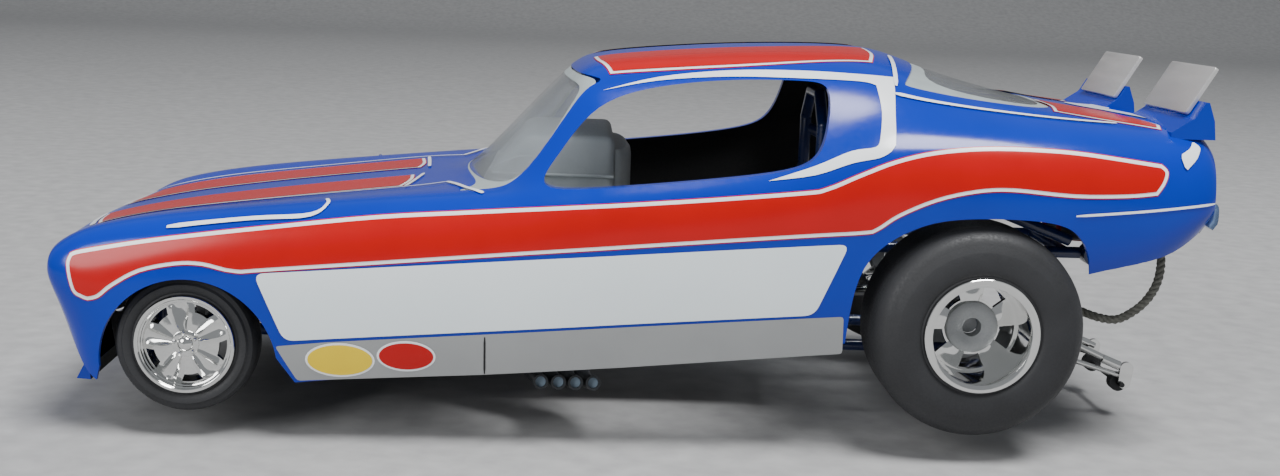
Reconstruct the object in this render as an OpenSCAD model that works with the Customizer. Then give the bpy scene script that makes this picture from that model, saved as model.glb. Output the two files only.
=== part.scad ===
// Flip-top funny car, a static display model at one to twenty-five scale.
// A thin one-piece body tilts up on hinge pins at the tail of a tube frame.
// X runs from the nose (-) to the tail (+), Y to the car's right, Z up.

/* [Running gear] */
// Distance between the front and the rear axle
wheelbase = 123.5; // [100:0.5:150]
// Nose of the body ahead of the front axle
front_overhang = 22.7; // [18:0.1:28]
// Tail of the body behind the rear axle
rear_overhang = 39.8; // [32:0.1:48]
// Outer diameter of a front tyre
front_tyre_d = 22; // [18:0.1:24]
// Width of a front tyre
front_tyre_w = 6.4; // [5:0.1:8]
// Outer diameter of a rear slick
rear_tyre_d = 33.8; // [27:0.1:34.4]
// Width of a rear slick
rear_tyre_w = 15.4; // [12:0.1:16]
// Diameter of a front rim over its lip
front_rim_d = 15.5; // [12:0.1:16.5]
// Diameter of a rear rim over its lip
rear_rim_d = 18.2; // [15:0.1:24]
// Diameter of the front spindles
spindle_d = 1.6; // [1:0.1:2.4]
// Diameter of the rear axle shaft
shaft_d = 2.8; // [2:0.1:3.6]
// Radial clearance of each turning fit
run_gap = 0.05; // [0.02:0.01:0.1]

/* [Body shell] */
// Width over the doors
body_width = 74; // [66:0.5:90]
// Roof crown above the ground
body_height = 59.4; // [56:0.1:72]
// Wall of the moulded shell
wall = 1.2; // [0.9:0.05:1.6]
// Play around glass, lamps and grille in their openings
fit_gap = 0.12; // [0.05:0.01:0.2]
// Clear space between a tyre and its arch
arch_gap = 1.0; // [0.6:0.1:2]
// How far the body tilts up, in degrees
tilt_max = 30; // [20:1:35]

/* [Frame] */
// Diameter of the frame tubes
tube_d = 2; // [1.4:0.1:2.6]
// Half the distance between the left and right rails
rail_y = 9.5; // [8:0.1:12]
// Height of the lower rails
rail_low_z = 8; // [7.4:0.1:9]
// Height of the upper rails
rail_top_z = 15.5; // [15:0.1:17]
// Diameter of the tow rope
rope_d = 1.5; // [1:0.1:2]
// Small space between pieces that are cemented together
seat_gap = 0.1; // [0.05:0.01:0.2]

/* [Engine] */
// Length of the engine block
block_l = 24; // [20:0.5:28]
// Width of the engine block
block_w = 13; // [10:0.5:15]
// Diameter of an exhaust pipe
pipe_d = 2.4; // [1.8:0.1:2.6]

/* [Hidden] */
$fn = 48;
eps = 0.01;

blue = "#0b4fc4";
dark_blue = "#12234f";
steel = "#b9bcc0";
chrome = "#d8dadc";
grey = "#84888a";
black = "#222326";

// Fixed points of the layout, from the driving sizes
front_x = -wheelbase / 2 - 8.75;
rear_x = front_x + wheelbase;
// A place in the drawn body, moved with the axles when the car is made longer
base_front = -70.5;
base_rear = 53;
function px(u) = u < base_front ? front_x + (u - base_front) * front_overhang / 22.7
    : u > base_rear ? rear_x + (u - base_rear) * rear_overhang / 39.8
    : front_x + (u - base_front) * wheelbase / 123.5;
function py(v) = v * body_width / 74;
function pz(w) = w * body_height / 59.4;
front_z = front_tyre_d / 2;
rear_z = rear_tyre_d / 2;
front_face_y = body_width / 2 - 3.9;
rear_face_y = body_width / 2 + 1;
tube_r = tube_d / 2;
hinge_x = px(79);
hinge_z = 25.5;
hinge_pin_d = 1.6;
eye_d = 3.8;
arm_t = 1;
arm_y = rail_y + tube_r + 0.5;
hoop_x = px(31);
upright_x = px(72);

// ---- smooth surfaces: uniform cubic splines near their control points ----
function spline(a, b, c, d, t) = (pow(1 - t, 3) * a + (3 * pow(t, 3) - 6 * t * t + 4) * b
    + (-3 * pow(t, 3) + 3 * t * t + 3 * t + 1) * c + pow(t, 3) * d) / 6;
// Closed smooth outline through the neighbourhood of a list of points
function smooth_loop(p, steps) = [for (i = [0:len(p) - 1]) for (s = [0:steps - 1])
    let (n = len(p)) spline(p[(i + n - 1) % n], p[i], p[(i + 1) % n], p[(i + 2) % n], s / steps)];
function mirror_y(p) = [for (i = [0:len(p) - 1]) [p[i][0], -p[i][1]]];

// Control rows of the shell from nose to tail. Each row gives x, then bow, the distance that the
// row runs rearward 30 mm from the centre line, then the top height, and five (y, z) points:
// mid, rail, belt, shoulder, side, then sill and hem. Heights are above the ground.
//    x     bow   top   mid           rail          belt          shoulder      side          sill          hem
ROWS = [
 [-93.5, 0.8, 24.0, [12, 24.0], [20, 23.8], [25, 23.4], [28, 22.8], [28.8, 22.0], [28.4, 21.2], [26, 20.6]],
 [-93.4, 0.8, 25.6, [12, 25.6], [20, 25.5], [26, 25.3], [30, 24.5], [31.2, 21.2], [30.4, 17.6], [27, 15.5]],
 [-91.4, 0.8, 26.6, [12, 26.6], [21, 26.8], [27, 27.0], [31, 26.0], [32.6, 21.0], [31.4, 13.0], [29, 9.0]],
 [-88.8, 0.6, 27.7, [12, 27.7], [21, 28.1], [27.4, 28.3], [31.6, 27.0], [33.6, 20.4], [32.0, 10.0], [31, 4.6]],
 [-85.0, 0.3, 28.9, [12, 28.9], [22, 29.4], [28, 29.5], [32.2, 28.0], [34.4, 20.0], [33.6, 10.0], [33, 4.0]],
 [-76.0, 0.0, 30.8, [13, 30.7], [22, 31.2], [28.6, 31.3], [33.0, 29.6], [35.2, 22.0], [34.8, 11.0], [33.8, 4.2]],
 [-62.0, 0.5, 32.6, [14, 32.5], [23, 32.9], [29.2, 33.0], [33.6, 31.2], [35.8, 24.0], [35.2, 11.0], [33.8, 4.8]],
 [-48.0, 2.0, 34.2, [14, 34.1], [23.5, 34.5], [29.6, 34.5], [34.0, 32.8], [36.0, 26.0], [35.2, 12.0], [33.6, 5.7]],
 [-38.0, 5.0, 35.2, [14, 35.1], [24, 35.5], [30, 35.6], [34.4, 34.0], [36.2, 27.0], [35.4, 13.0], [33.6, 6.3]],
 [-31.5, 9.5, 35.6, [14, 35.7], [24, 36.2], [30.4, 36.5], [34.8, 35.2], [36.4, 28.0], [35.5, 13.5], [33.6, 6.8]],
 [-28.8, 9.0, 37.4, [14, 37.2], [24.4, 37.6], [30.8, 37.2], [35.0, 35.6], [36.4, 28.2], [35.5, 13.8], [33.6, 7.0]],
 [-21.0, 6.4, 45.8, [14, 45.3], [25.4, 45.0], [31.2, 37.8], [35.2, 36.0], [36.5, 28.6], [35.5, 14.4], [33.6, 7.6]],
 [-12.2, 3.4, 55.0, [13.5, 54.6], [24.6, 54.0], [31.4, 38.4], [35.4, 36.5], [36.6, 29.0], [35.5, 15.2], [33.6, 8.2]],
 [-8.4, 1.0, 56.6, [12.5, 56.2], [24.0, 55.2], [31.4, 38.8], [35.5, 36.8], [36.6, 29.4], [35.5, 15.6], [33.6, 8.6]],
 [0.0, 0.0, 57.8, [12.5, 57.2], [23.8, 56.0], [31.5, 39.6], [35.6, 37.4], [36.6, 30.0], [35.5, 16.4], [33.6, 9.2]],
 [14.0, 0.0, 59.1, [12.5, 58.5], [23.8, 56.8], [31.8, 41.4], [35.9, 38.6], [36.7, 31.0], [35.6, 17.5], [33.7, 10.4]],
 [28.0, -1.0, 59.7, [12.5, 59.1], [24.0, 57.2], [32.0, 45.4], [36.4, 41.2], [37.0, 33.0], [35.8, 19.0], [33.9, 11.7]],
 [40.0, -3.5, 59.8, [12.5, 59.0], [24.0, 57.0], [30.5, 49.8], [36.6, 44.6], [37.4, 35.5], [36.2, 20.0], [34.2, 12.8]],
 [45.5, -4.5, 57.6, [12.5, 57.0], [23.4, 55.0], [29.6, 50.6], [36.6, 46.0], [37.6, 36.5], [36.4, 20.5], [34.5, 13.4]],
 [56.0, -3.5, 54.4, [12.5, 54.0], [22.4, 52.9], [28.8, 50.6], [36.2, 46.8], [37.7, 38.0], [36.4, 24.0], [34.6, 16.0]],
 [67.0, -1.5, 51.8, [12.5, 51.5], [22.4, 51.2], [28.6, 49.8], [35.4, 46.4], [37.2, 38.0], [35.8, 28.0], [33.6, 23.5]],
 [78.0, -0.5, 50.4, [12.5, 50.2], [22.4, 50.0], [28.4, 49.0], [33.8, 45.6], [35.6, 37.6], [34.6, 30.0], [32.4, 26.0]],
 [86.0, -1.0, 49.6, [12.5, 49.5], [22.4, 49.3], [28.0, 48.4], [32.2, 44.8], [33.8, 37.4], [33.0, 31.8], [30.6, 28.4]],
 [91.2, -1.8, 49.2, [12.5, 49.1], [21.8, 48.8], [27.2, 47.8], [31.0, 44.2], [32.6, 37.4], [31.6, 34.4], [28.4, 32.2]],
 [92.8, -2.0, 47.4, [12, 47.3], [20.8, 47.0], [26.0, 46.0], [29.8, 43.4], [31.4, 37.8], [30.4, 35.4], [27.2, 34.0]]];
NOSE_ROWS = 4;   // rows that close the nose
TAIL_ROWS = 3;   // rows that close the tail

// One ring of control points, drawn in by a wall thickness
function net_row(i, inset) = let (
    r = ROWS[i], n = len(ROWS),
    nose = i < NOSE_ROWS, tail = i >= n - TAIL_ROWS,
    dx = nose ? 1.3 * inset : tail ? -inset : 0,
    floor_z = inset > 0 && !nose ? -12 : 0,
    half = [[0, pz(r[2]) - inset],
        [py(r[3][0]), pz(r[3][1]) - inset],
        [py(r[4][0]) - 0.7 * inset, pz(r[4][1]) - inset],
        [py(r[5][0]) - inset, pz(r[5][1]) - 0.9 * inset],
        [py(r[6][0]) - inset, pz(r[6][1]) - 0.5 * inset],
        [py(r[7][0]) - inset, pz(r[7][1])],
        [py(r[8][0]) - inset, pz(r[8][1])],
        for (times = [1:3]) [py(r[9][0]) - inset, pz(r[9][1]) + 2 * floor_z],
        [0, pz(r[9][1]) + 2 * floor_z]],
    all = concat(half, [for (k = [9:-1:1]) [-half[k][0], half[k][1]]]))
    [for (q = all) [px(r[0]) + dx + r[1] * pow(q[0] / 30, 2), q[0], q[1]]];

// Closed solid inside the shell's outer face, drawn in by inset
module hull_form(inset = 0, along = 2, around = 2) {
    net = [for (i = [0:len(ROWS) - 1]) net_row(i, inset)];
    n = len(net);
    ends = concat([net[0], net[0]], net, [net[n - 1], net[n - 1]]);
    spans = len(ends) - 3;
    rings = [for (i = [0:spans - 1]) for (s = [0:(i == spans - 1 ? along : along - 1)])
        smooth_loop([for (k = [0:len(ends[0]) - 1])
            spline(ends[i][k], ends[i + 1][k], ends[i + 2][k], ends[i + 3][k], s / along)], around)];
    m = len(rings[0]);
    last = len(rings) - 1;
    points = concat([for (g = rings) for (p = g) p], [centre_of(rings[0])], [centre_of(rings[last])]);
    faces = concat(
        [for (g = [0:last - 1]) for (k = [0:m - 1]) let (k2 = (k + 1) % m, a = g * m, b = a + m)
            each [[a + k, b + k2, b + k], [a + k, a + k2, b + k2]]],
        [for (k = [0:m - 1]) [(last + 1) * m, (k + 1) % m, k]],
        [for (k = [0:m - 1]) [(last + 1) * m + 1, last * m + k, last * m + (k + 1) % m]]);
    polyhedron(points, faces, convexity = 10);
}
function centre_of(g) = let (n = len(g)) [for (c = [0:2]) [for (p = g) p[c]] * [for (p = g) 1] / n];

// Outlines of the openings. Side view points are (x, z), front view (y, z), plan (x, y).
SIDE_WINDOW = [[-17.6, 36.6], [-13.4, 41.8], [-8.2, 50.2], [2, 53.0], [14, 54.4], [26, 54.6],
    [29.4, 54.2], [28.6, 48.6], [27, 43.2], [22, 40.9], [4, 38.6], [-8, 37.4]];
WINDSHIELD = [[28.8, 35.6], [27.6, 38.4], [23.4, 52.0], [22.2, 53.9], [18.6, 54.1], [8, 54.2], [0, 54.2]];
WINDSHIELD_SILL = [[0, 36.4], [9, 36.4], [20, 36.3], [27, 35.6]];
REAR_WINDOW = [[46.2, 0], [45.4, 12], [41.8, 23.0], [40.8, 24.2], [44, 24.0], [60, 23.4],
    [66.8, 20.6], [68.4, 12], [68.8, 0]];
GRILLE = [[-14, 22.6], [14, 22.6], [14.8, 19], [12.6, 11.6], [9, 9.6], [-9, 9.6], [-12.6, 11.6], [-14.8, 19]];
function place(p, kind) = kind == "side" ? [for (q = p) [px(q[0]), pz(q[1])]]
    : kind == "front" ? [for (q = p) [py(q[0]), pz(q[1])]]
    : [for (q = p) [px(q[0]), py(q[1])]];
function both_sides(p) = concat(p, [for (i = [len(p) - 2:-1:1]) [p[i][0], -p[i][1]]]);

module side_cut(outline, y0, y1) {
    for (s = [-1, 1]) scale([1, s, 1]) translate([0, y1, 0]) rotate([90, 0, 0])
        linear_extrude(y1 - y0) polygon(outline);
}
module front_cut(outline, x0, x1, grow = 0) {
    translate([x0, 0, 0]) rotate([90, 0, 90]) linear_extrude(x1 - x0) offset(delta = grow) polygon(outline);
}
module plan_cut(outline, z0, z1, grow = 0) {
    translate([0, 0, z0]) linear_extrude(z1 - z0) offset(delta = grow) polygon(outline);
}
module windshield_cut(grow = 0) {
    right = concat(WINDSHIELD_SILL, WINDSHIELD);
    left = [for (i = [len(right) - 2:-1:1]) [-right[i][0], right[i][1]]];
    front_cut(smooth_loop(place(concat(right, left), "front"), 4), px(-40), px(-5), grow);
}
module rear_window_cut(grow = 0) {
    plan_cut(smooth_loop(place(both_sides(REAR_WINDOW), "plan"), 3), pz(46), pz(64), grow);
}
module grille_cut(grow = 0) front_cut(smooth_loop(place(GRILLE, "front"), 3), px(-97), px(-84), grow);
lamp_r = 4.2;
lamp_y = 21.6;
lamp_z = 19.2;
module headlamp_cut(grow = 0) {
    for (s = [-1, 1]) translate([px(-97), s * py(lamp_y), pz(lamp_z)]) rotate([0, 90, 0])
        cylinder(r = lamp_r + grow, h = px(-84) - px(-97));
}
tail_lamp_r = 2.9;
TAIL_LAMP_Y = [13.5, 20.6];
tail_lamp_z = 42;
module tail_lamp_cut(grow = 0) {
    for (s = [-1, 1]) for (y = TAIL_LAMP_Y) translate([px(86), s * py(y), pz(tail_lamp_z)])
        rotate([0, 90, 0]) cylinder(r = tail_lamp_r + grow, h = 12);
}

// Front arch: round over the wheel, opening out to the chin and the sill
front_arch_r = front_tyre_d / 2 + arch_gap + 1.8;
module front_arch() {
    translate([front_x + 0.7, front_z - 3.1]) circle(r = front_arch_r);
    translate([front_x + 0.7 - front_arch_r + 0.4, -5]) square([2 * front_arch_r - 0.8, front_z + 3]);
    polygon([[front_x + 0.7 - front_arch_r - 2.4, -2], [front_x - front_arch_r + 2, front_z + 1],
        [front_x + front_arch_r - 1, front_z + 1], [front_x + front_arch_r + 2.6, -2]]);
}
// Rear arch: a flattened round opening, drawn from the tyre's own size
module rear_arch() {
    r = rear_tyre_d / 2;
    top = rear_z + r + arch_gap * 0.9;
    front = rear_x - r - arch_gap * 4;
    back = rear_x + r + 0.4;
    polygon(smooth_loop([[front, -6], [front, rear_z - 6], [front + 0.4, rear_z + 7], [front + 3.4, top - 4.6],
        [front + 11, top - 0.2], [rear_x - 2, top + 0.6], [rear_x + 8, top + 0.5], [back - 3.6, top - 0.6],
        [back - 0.6, top - 4.6], [back + 0.4, top - 10], [back + 0.5, -6]], 4));
}

// The moulded shell. The inner and outer forms and all cuts make one smooth mesh.
module shell_form() {
    difference() {
        union() {
            hull_form(0);
            chin_lip();
            spoiler_ramps();
        }
        hull_form(wall);
        side_cut(smooth_loop(place(SIDE_WINDOW, "side"), 4), py(20), py(45));
        windshield_cut();
        rear_window_cut();
        grille_cut();
        headlamp_cut();
        tail_lamp_cut();
        for (s = [-1, 1]) scale([1, s, 1]) translate([0, py(46), 0]) rotate([90, 0, 0])
            linear_extrude(py(46) - py(20)) {
                front_arch();
                rear_arch();
            }
    }
}
// Lip along the bottom of the nose, kicked forward
module chin_lip() {
    translate([px(-88.2), py(27), pz(4.4)]) rotate([90, 0, 0]) linear_extrude(2 * py(27))
        polygon([[0.6, 3.4], [0, 1.8], [-1.7, -0.6], [1.8, -0.1], [2.4, 2.4]]);
}
// Two wedges on the tail that the spoiler plates stand against
RAMP = [[83.6, 48.6], [87.15, 50.95], [87.5, 51.35], [88.75, 53.5], [89.3, 53.5], [90.4, 50.6], [90.8, 47.6],
    [83.6, 47.6]];
ramp_in_y = 6.6;
ramp_out_y = 28;
module spoiler_ramps() {
    for (s = [-1, 1]) translate([0, s > 0 ? py(ramp_out_y) : -py(ramp_in_y), 0]) rotate([90, 0, 0])
        linear_extrude(py(ramp_out_y - ramp_in_y)) polygon([for (p = RAMP) [px(p[0]), pz(p[1])]]);
}
module body_shell() color(blue) minkowski() shell_form();

glass_t = 0.7;
module skin_panel(depth, thick) {
    difference() {
        intersection() {
            hull_form(depth);
            children();
        }
        hull_form(depth + thick);
    }
}
module windshield() color("#c9d3da80") minkowski() skin_panel(0.15, glass_t) windshield_cut(-fit_gap);
module rear_window() color("#c9d3da80") minkowski() skin_panel(0.15, glass_t) rear_window_cut(-fit_gap);
module grille() color(black) minkowski() skin_panel(0.35, wall) grille_cut(-fit_gap);
module headlamps() color(chrome) minkowski() skin_panel(0.1, wall) headlamp_cut(-fit_gap);
module tail_lamps() color("#b3160f") minkowski() skin_panel(0.1, wall) tail_lamp_cut(-fit_gap);

// Bumper blade wrapped round the tail
bumper_z0 = 33.6;
bumper_z1 = 37.8;
bumper_t = 1.5;
module rear_bumper() color("#86abd8") minkowski() difference() {
    intersection() {
        hull_form(-bumper_t);
        translate([px(90.6), -py(40), pz(bumper_z0)]) cube([8, py(80), pz(bumper_z1 - bumper_z0)]);
    }
    hull_form(-0.05);
}

// Flat plates that lean back above the ramps
plate_in_y = 7.2;
plate_out_y = 25;
plate_h = 8.6;
plate_t = 0.7;
plate_lean = 30;
module spoiler_plates() color(steel) {
    for (s = [-1, 1]) translate([px(87.3), s > 0 ? py(plate_in_y) : -py(plate_out_y), pz(51.25)])
        rotate([0, plate_lean, 0]) translate([-plate_t, 0, 0])
        cube([plate_t, py(plate_out_y - plate_in_y), plate_h]);
}

// ---- simple building blocks ----
// Straight round tube between two points
module tube(a, b, d) {
    v = b - a;
    translate(a) rotate([0, acos(v[2] / norm(v)), atan2(v[1], v[0])]) cylinder(d = d, h = norm(v));
}
// Tubes along a list of points
module tubes(p, d) {
    for (i = [0:len(p) - 2]) tube(p[i], p[i + 1], d);
    if (len(p) > 2) for (i = [1:len(p) - 2]) translate(p[i]) sphere(d = d * 1.02, $fn = 24);
}
// A round tube along Y from y0 to y1
module across(x, z, y0, y1, d) translate([x, y1, z]) rotate([90, 0, 0]) cylinder(d = d, h = y1 - y0);
module box(lo, hi) translate(lo) cube(hi - lo);

// Arms that carry the tail of the shell on the two hinge pins
module body_hinge_arms() color(dark_blue) for (s = [-1, 1]) scale([1, s, 1]) {
    box([hinge_x - 1.4, arm_y, hinge_z], [hinge_x + 1.4, arm_y + arm_t, pz(46)]);
    across(hinge_x, hinge_z, arm_y, arm_y + arm_t, eye_d);
    box([hinge_x - 5, arm_y, pz(46)], [hinge_x + 5, arm_y + arm_t, deck_under]);
    across(hinge_x, hinge_z, rail_y - tube_r - 0.2, arm_y + eps, hinge_pin_d);
}
deck_under = pz(48.3);

// ---- frame ----
module rail_side(s) scale([1, s, 1]) {
    low = [px(-84), rail_y, rail_low_z];
    tube(low, [upright_x, rail_y, rail_low_z], tube_d);
    tube([px(-80), rail_y, rail_top_z], [hoop_x, rail_y, rail_top_z], tube_d);
    for (u = [-80, -60, -44, -8, 12]) tube([px(u), rail_y, rail_low_z], [px(u), rail_y, rail_top_z], tube_d);
    tube([hoop_x, rail_y, rail_low_z], [hoop_x, rail_y, hinge_z], tube_d);
    tube([hoop_x, rail_y, hinge_z], [hinge_x - eye_d / 2 - 0.05, rail_y, hinge_z], tube_d);
    tube([upright_x, rail_y, rail_low_z], [upright_x, rail_y, hinge_z], tube_d);
}
// The left rail also has the lug that the tow rope is fixed to
module frame_left() color(dark_blue) {
    rail_side(-1);
    lug = rope_at(0);
    box([lug[0] - 0.8, lug[1], lug[2] - 0.8], [lug[0] + 0.8, -rail_y, lug[2] + 0.8]);
}
module frame_right() color(dark_blue) rail_side(1);
module cross_tubes() color(dark_blue) {
    inner = rail_y - tube_r - seat_gap;
    for (u = [-83, -52, 29]) across(px(u), rail_low_z, -inner, inner, tube_d);
    across(upright_x + tube_d + 0.6, hinge_z, -inner, inner, tube_d);
    across(upright_x, rail_low_z + 3.2, -inner, inner, tube_d);
}
module hinge_eyes() color(dark_blue) for (s = [-1, 1]) scale([1, s, 1]) difference() {
    across(hinge_x, hinge_z, rail_y - tube_r + seat_gap, arm_y - 0.2, eye_d);
    across(hinge_x, hinge_z, 0, 30, hinge_pin_d + 2 * run_gap);
}
// Driver's hoop with its rear braces
module roll_cage() color(dark_blue) {
    top = pz(51);
    foot = hinge_z + tube_r + seat_gap;
    for (s = [-1, 1]) scale([1, s, 1]) {
        tubes([[hoop_x, rail_y, foot], [hoop_x, rail_y, top - 5], [hoop_x, rail_y - 5, top], [hoop_x, -eps, top]], tube_d);
        tube([hoop_x, rail_y, pz(44)], [px(75.2), rail_y, hinge_z + tube_d + seat_gap], tube_d);
    }
}
module floor_pan() color(steel)
    box([px(-8), -rail_y + tube_r + 0.2, rail_low_z - 0.4], [px(24.6), rail_y - tube_r - 0.2, rail_low_z + 0.4]);

// ---- running gear ----
axle_d = 2.4;
front_hub_y = front_face_y - front_tyre_w + 0.6;
module front_axle() color(chrome) {
    across(front_x, front_z, -front_hub_y + 1.2, front_hub_y - 1.2, axle_d);
    for (s = [-1, 1]) box([front_x - 1.6, s * rail_y - 1, rail_low_z + tube_r + 0.05],
        [front_x + 1.6, s * rail_y + 1, front_z]);
}
// Upright, pin and cap that carry a front wheel
module spindle(s) color(chrome) scale([1, s, 1]) {
    across(front_x, front_z, front_hub_y - 1.1, front_hub_y - 0.3, 4.4);
    across(front_x, front_z, front_hub_y - 0.4, front_face_y - 2.6, spindle_d);
}
module spindle_left() spindle(-1);
module spindle_right() spindle(1);
module radius_rods() color(chrome) for (s = [-1, 1]) scale([1, s, 1]) {
    y = rail_y + 6;
    tube([front_x + axle_d / 2 + seat_gap, y, front_z], [px(-46), rail_y + tube_r + 0.9, rail_low_z + 3], 1.2);
    box([px(-46) - 1, rail_y + tube_r + seat_gap, rail_low_z + 2], [px(-46) + 1, rail_y + tube_r + 1.2, rail_low_z + 4]);
}
housing_d = 5;
rear_in_y = rear_face_y - rear_tyre_w;
bearing_y = rear_in_y - 0.6;
module rear_axle() color(steel) {
    across(rear_x, rear_z, -bearing_y, bearing_y, housing_d);
    translate([rear_x, 0, rear_z]) sphere(d = 10);
    for (s = [-1, 1]) scale([1, s, 1]) {
        across(rear_x, rear_z, bearing_y - eps, rear_face_y - 8.6, shaft_d);
        box([rear_x - 2, rail_y - 0.9, rail_low_z + tube_r + 0.05], [rear_x + 2, rail_y + 0.9, rear_z]);
        box([rear_x - 1.2, rail_y - 0.9, rear_z], [rear_x + 1.2, rail_y + 0.9, hinge_z - tube_r - 0.05]);
    }
}
module drive_shaft() color(chrome) {
    tube([px(8.2), 0, 13.2], [rear_x - 5.3, 0, rear_z - 0.6], 2);
}

// ---- engine ----
engine_x = px(-22);
block_z0 = 10;
block_z1 = 27;
deck_z = block_z1 + seat_gap;
module engine_block() color(blue) {
    box([engine_x - block_l / 2, -block_w / 2, block_z0], [engine_x + block_l / 2, block_w / 2, block_z1]);
    translate([engine_x, 0, block_z0 - 2]) cube([block_l - 4, block_w - 3, 4.2], center = true);
}
// Heads and covers, canted on each side of the block
head_z = block_z1 - 7.6;
head_w = 4.2;
module valve_covers() color(chrome) for (s = [-1, 1]) scale([1, s, 1])
    translate([engine_x - block_l / 2, block_w / 2 + 0.3, head_z]) rotate([-cant, 0, 0]) {
        cube([block_l, head_w, 6.4]);
        translate([1, 0.6, 6.3]) cube([block_l - 2, 3, 2]);
    }
cant = 30;
blower_z1 = 34.5;
blower_x = engine_x + 5.5;
module blower() color(steel) {
    box([blower_x - 7.5, -5, deck_z], [blower_x + 6, 5, deck_z + 2]);
    box([blower_x - 6.5, -4.2, deck_z + 2 - eps], [blower_x + 6.5, 4.2, blower_z1]);
    translate([blower_x - 6.5 - 2.2, 0, deck_z + 4.4]) rotate([0, 90, 0]) cylinder(d = 4, h = 2.3);
}
injector_x = blower_x + 1;
module injector() color(chrome) {
    translate([injector_x, 0, blower_z1 + seat_gap]) {
        translate([-3.8, -4, 0]) cube([6.6, 8, 2.2]);
        for (y = [-2.4, 2.4]) translate([-0.6, y, 2.1]) cylinder(d1 = 3.4, d2 = 4.2, h = 3.6);
    }
}
PIPE_X = [-15.2, -12.4, -9.7, -6.9];
port_pitch = 5.6;
tip_y = body_width / 2 - 5;
// Four pipes from the ports down and out under the sill
module headers(s) color(black) scale([1, s, 1]) for (i = [0:3]) {
    face = [0, block_w / 2 + 0.3 + head_w * cos(cant) + 2 * sin(cant), head_z - head_w * sin(cant) + 2 * cos(cant)];
    out = [0, cos(cant), -sin(cant)];
    port = [engine_x + (i - 1.5) * port_pitch, 0, 0] + face + out * seat_gap;
    low = [px(PIPE_X[i]) - 1.6, tip_y - 12, 4.2];
    tip = [px(PIPE_X[i]), tip_y, 6.2];
    difference() {
        tubes([port, port + 3 * out, [(port[0] + low[0]) / 2, port[1] + 4.5, 10.5], low, tip], pipe_d);
        tube(tip - 0.25 * (tip - low), tip + 0.1 * (tip - low), pipe_d - 0.7);
    }
}
module headers_left() headers(-1);
module headers_right() headers(1);
module gearbox() color(steel) {
    x0 = engine_x + block_l / 2 + seat_gap;
    translate([x0, 0, 14]) rotate([0, 90, 0]) cylinder(d1 = 12, d2 = 8.6, h = 7);
    translate([x0 + 6.9, 0, 14]) rotate([0, 90, 0]) cylinder(d = 7.4, h = px(8) - x0 - 6.9);
}
module fuel_tank() color(steel) {
    difference() {
        translate([px(-76), 6.8, 14.4]) rotate([90, 0, 0]) cylinder(d = 9, h = 13.6);
        translate([px(-76), 0, 14.4]) box([-2, -9, -9], [2, 9, -4.1]);
    }
    box([px(-76) - 2, -6, rail_low_z - 0.8], [px(-76) + 2, 6, 10.6]);
}

// ---- cockpit ----
tin_y = 16;
tin_top = 43.6;
tin_t = 0.8;
TIN = [[-29, 30], [-24.9, 37], [-19.2, 43.6], [-4.3, 43.6], [-4.3, 30]];
// Sheet cover over the injector, open underneath
module cockpit_tin() color(grey) {
    outer = [for (p = TIN) [px(p[0]), p[1]]];
    difference() {
        translate([0, tin_y, 0]) rotate([90, 0, 0]) linear_extrude(2 * tin_y) polygon(outer);
        translate([0, tin_y - tin_t, 0]) rotate([90, 0, 0]) linear_extrude(2 * (tin_y - tin_t))
            polygon([outer[0] + [1.2, -1], outer[1] + [1.1, -0.4], outer[2] + [0.4, -tin_t],
                outer[3] + [-tin_t, -tin_t], outer[4] + [-tin_t, -1]]);
    }
    for (s = [-1, 1]) scale([1, s, 1]) {
        box([px(-24), tin_y - 0.5, 30], [px(-4.3), tin_y + 7, 30.8]);
        box([px(-7.6), rail_y - 1, rail_top_z + tube_r + seat_gap], [px(-6), rail_y + 1, 30.2]);
        box([px(-7.6), rail_y - 1, 30], [px(-6), tin_y, 30.8]);
    }
}
module dash_cowl() color("#9da1a2") {
    x0 = px(-4.3) + seat_gap;
    translate([x0, 0, 30]) intersection() {
        scale([0.23, 1, 1]) cylinder(d = 28, h = 11.4);
        translate([0, -20, 0]) cube([10, 40, 20]);
    }
}
seat_z = rail_top_z + tube_r + seat_gap;
seat_back_x = px(24);
seat_top = 34;
module seat() color(black) {
    bar_h = 0.8;
    for (u = [12, 21]) box([px(u), -rail_y - tube_r, seat_z], [px(u) + 2, rail_y + tube_r, seat_z + bar_h]);
    difference() {
        union() {
            box([px(9), -7, seat_z + bar_h - eps], [px(27), 7, seat_z + 5]);
            box([px(20), -7, seat_z + 4], [px(27), 7, seat_top]);
        }
        box([px(7), -5.6, seat_z + 2.4], [seat_back_x, 5.6, 40]);
    }
}
// Two shoulder straps and a lap strap
module harness() color("#a81a14") {
    for (s = [-1, 1]) scale([1, s, 1]) {
        box([seat_back_x - 0.8, 1.6, seat_z + 5], [seat_back_x - seat_gap, 3.2, seat_top]);
        box([seat_back_x - 0.8, 1.6, seat_top + seat_gap], [seat_back_x + 3.4, 3.2, seat_top + 0.8]);
    }
    box([seat_back_x - 1.4, -4, seat_z + 5], [seat_back_x - 0.8, 4, seat_z + 6.6]);
}
module steering_wheel() color(black) {
    c = [px(6), 0, 29];
    translate(c) rotate([0, -62, 0]) {
        rotate_extrude() translate([4, 0]) circle(r = 0.5, $fn = 20);
        for (a = [0:120:240]) rotate([0, 0, a + 30]) translate([0, -0.4, -0.3]) cube([4, 0.8, 0.6]);
        cylinder(r = 1, h = 1, center = true);
    }
    tube(c, [px(-0.75), 0, 32.6], 1);
}

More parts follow.
